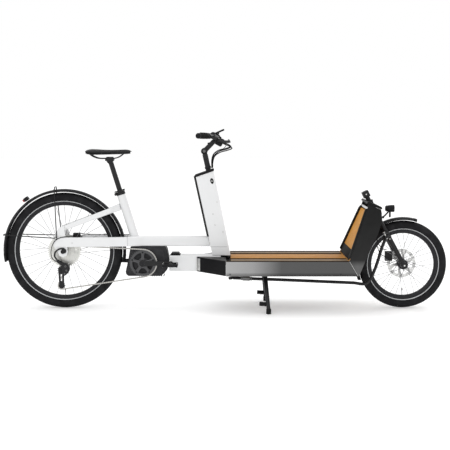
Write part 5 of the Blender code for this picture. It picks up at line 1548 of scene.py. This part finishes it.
def make_handlebar():
    parts = [(rod(smooth_route(bar_route(), 6), 0.0110, 28), SATIN)]
    along = (GRIP_OUTER - GRIP_INNER).normalized()
    for _, side in SIDES:
        shapes = []
        ring = [(0.0112, 0.0), (0.0150, 0.0), (0.0158, 0.0012), (0.0158, 0.0168), (0.0150, 0.018),
                (0.0112, 0.018)]
        shapes.append((turned(ring, GRIP_INNER + along * 0.004, along, 32), SATIN))
        tank = [Vector((-0.092, 0.201, 1.0465)), Vector((-0.086, 0.1995, 1.0445)),
                Vector((-0.066, 0.1945, 1.0375)), Vector((-0.050, 0.1905, 1.0318)),
                Vector((-0.047, 0.190, 1.0305))]
        shapes.append((rod(tank, [0.0060, 0.0095, 0.0105, 0.0100, 0.0070], 24), SATIN))
        lid = brick((-0.014, -0.008, -0.0025), (0.014, 0.008, 0.0025), 0.0015, 3)
        shapes.append((placed(lid, Vector((-0.070, 0.1955, 1.0480)), Vector((-0.35, 0.05, 1.0)),
                              Vector((1.0, -0.2, 0.35))), PLASTIC))
        shapes.append((pin(LEVER_HINGE + UP * 0.0035, LEVER_HINGE + UP * 0.0125, 0.0072, 0.001), SATIN))
        shapes.append((bolt(LEVER_HINGE + UP * 0.0125, UP, 0.0036, 0.0015), STEEL))
        parts += [(side_of(shape, side), finish) for shape, finish in shapes]
    shifter = [Vector((-0.067, -0.150, 1.0440)), Vector((-0.060, -0.148, 1.0360)),
               Vector((-0.042, -0.145, 1.0285)), Vector((-0.030, -0.143, 1.0255))]
    parts.append((rod(shifter, [0.0085, 0.0120, 0.0115, 0.0060], 24), PLASTIC))
    thumb = smooth_route([(-0.048, -0.150, 1.026), (-0.062, -0.158, 1.020), (-0.082, -0.166, 1.019)], 5)
    parts.append((rod(thumb, 0.0034, 14), PLASTIC))
    bell = Vector((-0.0715, -0.128, 1.0600))
    dome = [(0.0, 0.0115), (0.0060, 0.0108), (0.0110, 0.0080), (0.0140, 0.0030), (0.0145, -0.0015),
            (0.0130, -0.0015), (0.0, -0.0010)]
    parts.append((turned(dome, bell, Vector((-0.25, 0, 1)), 40), ANODISED))
    parts.append((pin(bell - UP * 0.012, bell, 0.0065, 0.001), PLASTIC))
    remote = brick((-0.085, 0.130, 1.0530), (-0.050, 0.160, 1.0630), 0.003, 3)
    hub = turned_by(brick((-0.0300, -0.022, 1.0080), (-0.0060, 0.022, 1.0300), 0.004, 3),
                    Vector((-0.018, 0, 1.019)), 25)
    strap = turned_by(brick((-0.0300, -0.006, 1.0230), (-0.0240, 0.006, 1.0420), 0.002, 3),
                      Vector((-0.027, 0, 1.032)), 25)
    parts += [(remote, PLASTIC), (hub, PLASTIC), (strap, PLASTIC)]
    for y in (-0.151, 0.151):
        centre = Vector((-0.034, y, 1.010))
        pod = turned_by(brick(centre - Vector((0.020, 0.016, 0.020)), centre + Vector((0.020, 0.016, 0.022)),
                              0.006, 4), centre, 28)
        lid = turned_by(brick(centre + Vector((0.0195, -0.012, -0.014)),
                              centre + Vector((0.0220, 0.012, 0.014)), 0.001, 2), centre, 28)
        arm = pin(centre + UP * 0.014, Vector((-0.0700, y, 1.0455)), 0.0070, 0.001)
        parts += [(pod, PLASTIC), (lid, GLOSS), (arm, SATIN)]
    piece("handlebar_and_controls", parts, "cockpit", ["handlebar"])


def make_grip(name, side):
    """A soft grip with fine ribs, a wider palm rest and a clamp ring at each end."""
    along = (GRIP_OUTER - GRIP_INNER).normalized()
    start = GRIP_INNER + along * 0.040
    length = (GRIP_OUTER - start).length
    bands = 34
    outer = []
    for k in range(bands + 1):
        for rise, part in ((0.0, 0.0), (0.0008, 0.35), (0.0008, 0.65)):
            h = 0.006 + (length - 0.012) * (k + part) / (bands + 1)
            swell = 0.0010 * math.sin(math.pi * k / bands)
            outer.append((0.0150 + rise + swell, h))
    profile = [(0.0117, 0.006)] + outer + [(0.0117, length - 0.006)]
    ring = [(0.0117, 0.0), (0.0155, 0.0), (0.0164, 0.001), (0.0164, 0.0055), (0.0155, 0.0065),
            (0.0117, 0.0065)]
    plug = [(0.0, -0.002), (0.0150, -0.002), (0.0160, -0.0005), (0.0150, 0.0008), (0.0, 0.0012)]
    parts = [(turned(profile, start, along, 40), RUBBER), (turned(ring, start, along, 40), ANODISED),
             (turned(ring, GRIP_OUTER - along * 0.0066, along, 40), ANODISED),
             (turned(plug, GRIP_OUTER, along, 40), PLASTIC)]
    parts = [(side_of(shape, side), finish) for shape, finish in parts]
    piece("grip_sleeve_" + name, parts, "cockpit", ["grip_" + name], sharp=50)


def make_display():
    centre = Vector((-0.032, 0, 1.0735))
    shell = turned_by(brick(centre - Vector((0.030, 0.024, 0.0055)), centre + Vector((0.030, 0.024, 0.0050)),
                            0.0040, 4), centre, -24)
    glass = turned_by(brick(centre + Vector((-0.026, -0.020, 0.0040)),
                            centre + Vector((0.026, 0.020, 0.0056)), 0.0006, 2), centre, -24)
    foot = brick((-0.053, -0.010, 1.0555), (-0.035, 0.010, 1.069), 0.002, 3)
    ring = [(0.0110, -0.007), (0.0150, -0.007), (0.0150, 0.007), (0.0110, 0.007)]
    piece("display_unit", [(shell, PLASTIC), (glass, SCREEN), (foot, PLASTIC),
                           (turned(ring, BAR_CLAMP + LEFT * 0.031, LEFT, 32), PLASTIC)],
          "cockpit", ["display"])


def make_brake_lever(name, side):
    """A blade lever, flattened along its reach, with a ball end."""
    knots = [LEVER_HINGE, Vector((-0.012, 0.200, 1.014)), Vector((0.012, 0.216, 1.012)),
             Vector((0.026, 0.240, 1.013)),
             Vector((0.029, 0.270, 1.015)), Vector((0.023, 0.305, 1.018))]
    line = smooth_route(knots, 6)
    rows = []
    for k, point in enumerate(line):
        heading = (line[min(k + 1, len(line) - 1)] - line[max(k - 1, 0)]).normalized()
        across = heading.cross(UP).normalized()
        t = k / (len(line) - 1)
        end = 1.0 if t < 0.93 else 1.0 - 6.0 * (t - 0.93)
        rows.append(rounded(point, across, UP, (0.0034 + 0.0012 * (1 - t)) * end,
                            (0.0058 - 0.0012 * t) * end, 2.6, 18))
    tip = line[-1]
    ball = [(0.0, -0.0055), (0.0036, -0.0042), (0.0054, -0.0015), (0.0054, 0.0015), (0.0036, 0.0042),
            (0.0, 0.0055)]
    parts = [(rows_joined(rows), SATIN), (turned(ball, tip, (line[-1] - line[-2]), 24), SATIN),
             (pin(LEVER_HINGE - UP * 0.0060, LEVER_HINGE + UP * 0.0030, 0.0068, 0.001), SATIN)]
    parts = [(side_of(shape, side), finish) for shape, finish in parts]
    piece("lever_blade_" + name, parts, "brake_lever_" + name, ["brake_lever_" + name])


CABLE_ROUTES = [
    ([(-0.040, -0.165, 1.026), (-0.010, -0.155, 1.010), (0.022, -0.125, 0.996), (0.032, -0.085, 0.984),
      (0.004, -0.052, 0.972),
      (-0.036, -0.030, 0.962), (-0.068, -0.018, 0.938), (-0.080, -0.012, 0.900), (-0.0795, -0.010, 0.853)],
      0.0034),
    ([(-0.048, -0.186, 1.024), (-0.012, -0.168, 1.004), (0.030, -0.130, 0.985), (0.040, -0.085, 0.972),
      (0.010, -0.046, 0.960),
      (-0.030, -0.024, 0.948), (-0.062, -0.012, 0.925), (-0.073, -0.006, 0.890), (-0.0745, -0.004, 0.855)],
      0.0032),
    ([(-0.048, 0.186, 1.024), (-0.012, 0.168, 1.006), (0.026, 0.130, 0.990), (0.036, 0.085, 0.978),
      (0.008, 0.046, 0.966),
      (-0.034, 0.022, 0.954), (-0.066, 0.010, 0.928), (-0.077, 0.004, 0.890), (-0.0775, 0.003, 0.854)],
      0.0032),
    ([(-0.060, 0.140, 1.048), (-0.028, 0.120, 1.030), (0.000, 0.090, 1.006), (0.004, 0.060, 0.984),
      (-0.020, 0.036, 0.962),
      (-0.052, 0.018, 0.940), (-0.070, 0.010, 0.910), (-0.0765, 0.009, 0.880), (-0.0770, 0.009, 0.854)],
      0.0018),
]


def make_cables():
    parts = [(rod(smooth_route(route, 6), radius, 12), RUBBER) for route, radius in CABLE_ROUTES]
    cables = piece("cockpit_cables", parts, None, ["cockpit_cable"])
    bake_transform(cables)
    route = smooth_route([(0.9060, 0.080, 0.505), (0.925, 0.098, 0.440), (0.948, 0.098, 0.385),
                          (0.975, 0.090, 0.352),
                          (1.000, 0.0865, 0.345)], 6)
    piece("front_brake_hose_line", [(rod(route, 0.0026, 12), RUBBER)], "fork", ["front_brake_hose"])
    route = smooth_route([(-0.570, 0.046, 0.4420), (-0.640, 0.054, 0.4420), (-0.740, 0.0665, 0.4420),
                          (-0.840, 0.0770, 0.4420),
                          (-0.875, 0.0800, 0.4440), (-0.890, 0.0785, 0.4490)], 6)
    clips = []
    for x, y in ((-0.640, 0.054), (-0.740, 0.0665), (-0.840, 0.0770)):
        clips.append((brick((x - 0.004, y - 0.0045, 0.4385), (x + 0.004, y + 0.0045, 0.4452), 0.001, 2),
                      PLASTIC))
    piece("rear_brake_hose_line", [(rod(route, 0.0026, 12), RUBBER)] + clips, "frame", ["rear_brake_hose"])


def make_tie_rod():
    """Steering rod with a turned coupling, lock nuts and a ball joint at each end."""
    bend = smooth_route([(0.770, -0.154, 0.173), (0.832, -0.161, 0.168), (0.868, -0.165, 0.200),
                         (0.893, -0.167, 0.256),
                         (0.913, -0.164, 0.315), (0.934, -0.147, 0.378), (0.9603, -0.1182, 0.4322)], 6)
    line = [ROD_END + FORWARD * 0.012, Vector((0.400, -0.120, 0.184))] + bend
    parts = [(rod(line, 0.0095, 24), SATIN)]
    sleeve = [Vector((0.105, -0.1025, 0.1925)), Vector((0.150, -0.1052, 0.1911))]
    parts.append((pin(sleeve[0], sleeve[1], 0.0132, 0.0015, 6), DARK_STEEL))
    for at in (Vector((0.095, -0.1019, 0.1929)), Vector((0.154, -0.1055, 0.1910))):
        parts.append((pin(at, at + FORWARD * 0.006, 0.0125, 0.001, 6), DARK_STEEL))
    for centre, up, bore, outer, half in ((ROD_END, SHAFT_UP, 0.0066, 0.0155, 0.0075),
                                          (ARM_END, FORK_UP, 0.0120, 0.0185, 0.0070)):
        eye = [(bore, -half), (outer - 0.002, -half), (outer, -half + 0.002), (outer, half - 0.002),
               (outer - 0.002, half), (bore, half)]
        parts.append((turned(eye, centre, up, 40), SATIN))
    piece("steering_rod", parts, "tie_rod", ["tie_rod"])


# ---------------------------------------------------------------- fork, lamp and stand

def make_fork():
    crown_at = FORK_FOOT + FORK_UP * 0.318
    crown = [rounded(crown_at + LEFT * y, FORK_FORWARD, FORK_UP, a, b, 3.0, 32)
             for y, a, b in ((-0.082, 0.012, 0.009), (-0.080, 0.0165, 0.013), (-0.060, 0.0205, 0.0150),
                             (0.0, 0.0220, 0.0158),
                             (0.060, 0.0205, 0.0150), (0.080, 0.0165, 0.013), (0.082, 0.012, 0.009))]
    steerer = pin(crown_at, FORK_FOOT + FORK_UP * STEERER_TOP, 0.0143, 0.001, 40)
    clamp = placed(brick((-0.021, -0.022, -0.0195), (0.021, 0.022, 0.0195), 0.004, 4),
                   FORK_FOOT + FORK_UP * CLAMP_LIFT, FORK_UP, FORK_FORWARD)
    parts = [(rows_joined(crown), SATIN), (steerer, ANODISED), (clamp, SATIN)]
    cap = FORK_FOOT + FORK_UP * STEERER_TOP
    parts.append((turned([(0, 0), (0.0155, 0), (0.0155, 0.0015), (0.0120, 0.0030), (0.0045, 0.0030),
                          (0.0045, 0.001), (0, 0.001)], cap, FORK_UP, 36), ANODISED))
    for side in (-1, 1):
        offset = LEFT * side * LEG_Y
        top, foot = crown_at + offset, FRONT_AXLE + offset
        stops = [top + (top - foot) * 0.02, top, top.lerp(foot, 0.5), top.lerp(foot, 0.9), foot]
        parts.append((rod(stops, [0.0120, 0.0156, 0.0150, 0.0132, 0.0126], 32), SATIN))
        near, far = side * 0.0527, side * 0.0805
        parts.append((pin(FRONT_AXLE + LEFT * near, FRONT_AXLE + LEFT * far, 0.0210, 0.002, 44), SATIN))
        parts.append((bolt(FRONT_AXLE + LEFT * far, LEFT * side, 0.0100, 0.004), ANODISED))
        boss = top.lerp(foot, 0.42) + LEFT * side * 0.013
        parts.append((bolt(boss, LEFT * side, 0.0042), STEEL))
        parts.append((bolt(FORK_FOOT + FORK_UP * CLAMP_LIFT + LEFT * side * 0.022, LEFT * side, 0.0045),
                      STEEL))
    parts.append((pin(FRONT_AXLE - LEFT * 0.084, FRONT_AXLE + LEFT * 0.084, 0.0060, 0.0006), STEEL))
    arm_root = Vector((0.980, -0.066, 0.468))
    parts.append((rod([arm_root, arm_root.lerp(ARM_END + FORK_UP * 0.020, 0.5), ARM_END + FORK_UP * 0.020],
                      [0.0105, 0.0088, 0.0085], 24), SATIN))
    parts.append((pin(ARM_END - FORK_UP * 0.0095, ARM_END + FORK_UP * 0.0240, 0.0048, 0.0006), STEEL))
    parts.append((pin(ARM_END - FORK_UP * 0.0130, ARM_END - FORK_UP * 0.0085, 0.0090, 0.0008, 6), STEEL))
    parts.append((pin(ARM_END + FORK_UP * 0.0280, ARM_END + FORK_UP * 0.0330, 0.0085, 0.0008, 6), STEEL))
    hose = smooth_route([(0.928, -0.075, 0.515), (0.918, -0.090, 0.450), (0.915, -0.096, 0.392),
                         (0.935, -0.094, 0.342),
                         (0.968, -0.088, 0.322), (1.010, -0.084, 0.312), (1.048, -0.082, 0.290)], 6)
    parts.append((rod(hose, 0.0024, 12), RUBBER))
    piece("fork_legs_and_crown", parts, "fork", ["fork"])


def make_headlight():
    """A turned lamp with cooling rings, a clear lens, and its bent bracket."""
    centre = Vector((1.002, 0, 0.607))
    shell = [(0.0, -0.0275), (0.0120, -0.0272), (0.0170, -0.0230), (0.0185, -0.0170), (0.0172, -0.0160),
             (0.0190, -0.0130),
             (0.0178, -0.0120), (0.0198, -0.0090), (0.0205, 0.0), (0.0215, 0.0090), (0.0215, 0.0265),
             (0.0200, 0.0275),
             (0.0188, 0.0250), (0.0, 0.0215)]
    lens = [(0.0, 0.0222), (0.0186, 0.0230), (0.0186, 0.0245), (0.0100, 0.0264), (0.0, 0.0270)]
    arm = smooth_route([LAMP_HINGE, (0.975, 0, 0.566), (0.992, 0, 0.585), (0.998, 0, 0.600)], 5)
    parts = [(turned(shell, centre, FORWARD, 48), PLASTIC), (turned(lens, centre, FORWARD, 48), CLEAR),
             (rod(arm, 0.0048, 16), SATIN),
             (pin(LAMP_HINGE - LEFT * 0.008, LAMP_HINGE + LEFT * 0.008, 0.0070, 0.001), SATIN),
             (pin((1.0035, 0, 0.590), (1.0035, 0, 0.554), 0.0056, 0.001), PLASTIC),
             (bolt(LAMP_HINGE - LEFT * 0.008, -LEFT, 0.0045), ANODISED)]
    piece("headlight_lamp", parts, "headlight", ["headlight"])


def make_kickstand():
    half = 0.132
    parts = [(pin(STAND_PIVOT - LEFT * half, STAND_PIVOT + LEFT * half, 0.0130, 0.0015, 32), SATIN)]
    for side in (-1, 1):
        hip = STAND_PIVOT + LEFT * side * 0.124
        foot = Vector((0.258, side * 0.243, 0.024))
        down = (foot - hip).normalized()
        parts.append((rod([hip - down * 0.010, hip, hip.lerp(foot, 0.5), foot],
                          [0.0110, 0.0138, 0.0128, 0.0116], 28), SATIN))
        parts.append((pin(hip.lerp(foot, 0.08), hip.lerp(foot, 0.16), 0.0150, 0.001, 28), ANODISED))
        pad = [(0.0, 0.0), (0.0135, 0.0), (0.0150, 0.0015), (0.0148, 0.010), (0.0135, 0.0115),
               (0.0150, 0.013), (0.0145, 0.030), (0.0115, 0.033),
               (0.0, 0.033)]
        parts.append((turned(pad, Vector((foot.x, foot.y, 0)), UP, 36), RUBBER))
        at = hip.lerp(foot, 0.86)
        peg = at + Vector((-0.052, 0, 0.004))
        parts.append((pin(at, peg, 0.0105, 0.001), SATIN))
        for k in range(5):
            ring = at.lerp(peg, 0.30 + 0.15 * k)
            parts.append((pin(ring - FORWARD * 0.0032, ring + FORWARD * 0.0032, 0.0134, 0.0012, 24), RUBBER))
        parts.append((bolt(STAND_PIVOT + LEFT * side * half, LEFT * side, 0.0065), STEEL))
    piece("kickstand_legs", parts, "kickstand", ["kickstand"])


def make_caliper_details():
    parts = {"rear": [], "front": []}
    for end, centre in (("rear", Vector((-0.911, 0.072, 0.425))), ("front", Vector((1.004, 0.0512, 0.312)))):
        for z in (-0.018, 0.018):
            parts[end].append((bolt(centre + UP * z, LEFT, 0.0042), STEEL))
        parts[end].append((bolt(centre, LEFT, 0.0085, 0.0016), ANODISED))
    piece("rear_caliper_bolts", parts["rear"], "frame")
    piece("front_caliper_bolts", parts["front"], "fork")


# ---------------------------------------------------------------- studio

def make_studio():
    floor_finish = Finish("studio_floor", (0.86, 0.86, 0.86), 0.6)
    floor_finish.roughness(floor_finish.noise(3.0), 0.55, 0.65)
    floor_finish.shader.inputs["Emission Color"].default_value = (1.0, 1.0, 1.0, 1.0)
    floor_finish.shader.inputs["Emission Strength"].default_value = 0.24
    mesh = bpy.data.meshes.new("floor")
    edge = 30.0
    shape = bmesh.new()
    bmesh.ops.create_grid(shape, x_segments=2, y_segments=2, size=edge)
    shape.to_mesh(mesh)
    shape.free()
    mesh.materials.append(floor_finish.material)
    floor = bpy.data.objects.new("floor", mesh)
    floor.location.z = -0.0005
    bpy.context.scene.collection.objects.link(floor)
    world = bpy.data.worlds.new("studio")
    world.use_nodes = True
    background = world.node_tree.nodes["Background"]
    background.inputs["Color"].default_value = (1.0, 1.0, 1.0, 1.0)
    background.inputs["Strength"].default_value = 1.0
    bpy.context.scene.world = world
    for name, place, aim, size, energy in (
            ("key", (-1.6, -3.6, 4.2), (0, 0, 0.4), 2.0, 34.0),
            ("top", (0.6, 0.4, 4.6), (0, 0, 0.3), 2.4, 30.0),
            ("rim", (2.8, 3.0, 2.6), (0.2, 0, 0.5), 2.0, 18.0)):
        light = bpy.data.lights.new(name, "AREA")
        light.energy = energy
        light.size = size
        lamp = bpy.data.objects.new(name, light)
        lamp.location = place
        lamp.rotation_mode = "QUATERNION"
        lamp.rotation_quaternion = (Vector(aim) - Vector(place)).to_track_quat("-Z", "Y")
        bpy.context.scene.collection.objects.link(lamp)
    bpy.context.scene.view_settings.view_transform = "Standard"


def make_camera():
    lens = bpy.data.cameras.new("camera")
    lens.lens = CAMERA_LENS
    lens.sensor_width = 36.0
    camera = bpy.data.objects.new("camera", lens)
    camera.location = CAMERA_PLACE
    camera.rotation_mode = "QUATERNION"
    camera.rotation_quaternion = (CAMERA_AIM - CAMERA_PLACE).to_track_quat("-Z", "Y")
    bpy.context.scene.collection.objects.link(camera)
    bpy.context.scene.camera = camera


# ---------------------------------------------------------------- assembly

make_camera()
make_studio()
make_frame()
make_seat_tube()
make_head_tube()
make_frame_fittings()
make_column_top()
make_battery()
make_deck()
make_deck_fittings()
make_motor_details()
make_wheel("rear", REAR_AXLE, REAR_RADIUS, 0.2985, (-0.0680, 0.0730), (-0.0165, 0.034), 0.056)
make_wheel("front", FRONT_AXLE, FRONT_RADIUS, 0.2150, (-0.0510, 0.0510), (-0.026, 0.026), 0.040)
make_mudguards()
make_mudguard_stays()
make_rear_light()
make_chain()
make_cassette()
make_cranks()
make_pedal("right", -1, CRANK_AXIS + FORWARD * CRANK_LENGTH)
make_pedal("left", 1, CRANK_AXIS - FORWARD * CRANK_LENGTH)
make_pulleys()
make_derailleur()
make_seatpost()
make_saddle()
make_seat_lever()
make_steering_shaft()
make_stem()
make_handlebar()
for label, sign in SIDES:
    make_grip(label, sign)
    make_brake_lever(label, sign)
make_display()
make_cables()
make_tie_rod()
make_fork()
make_headlight()
make_kickstand()
make_caliper_details()
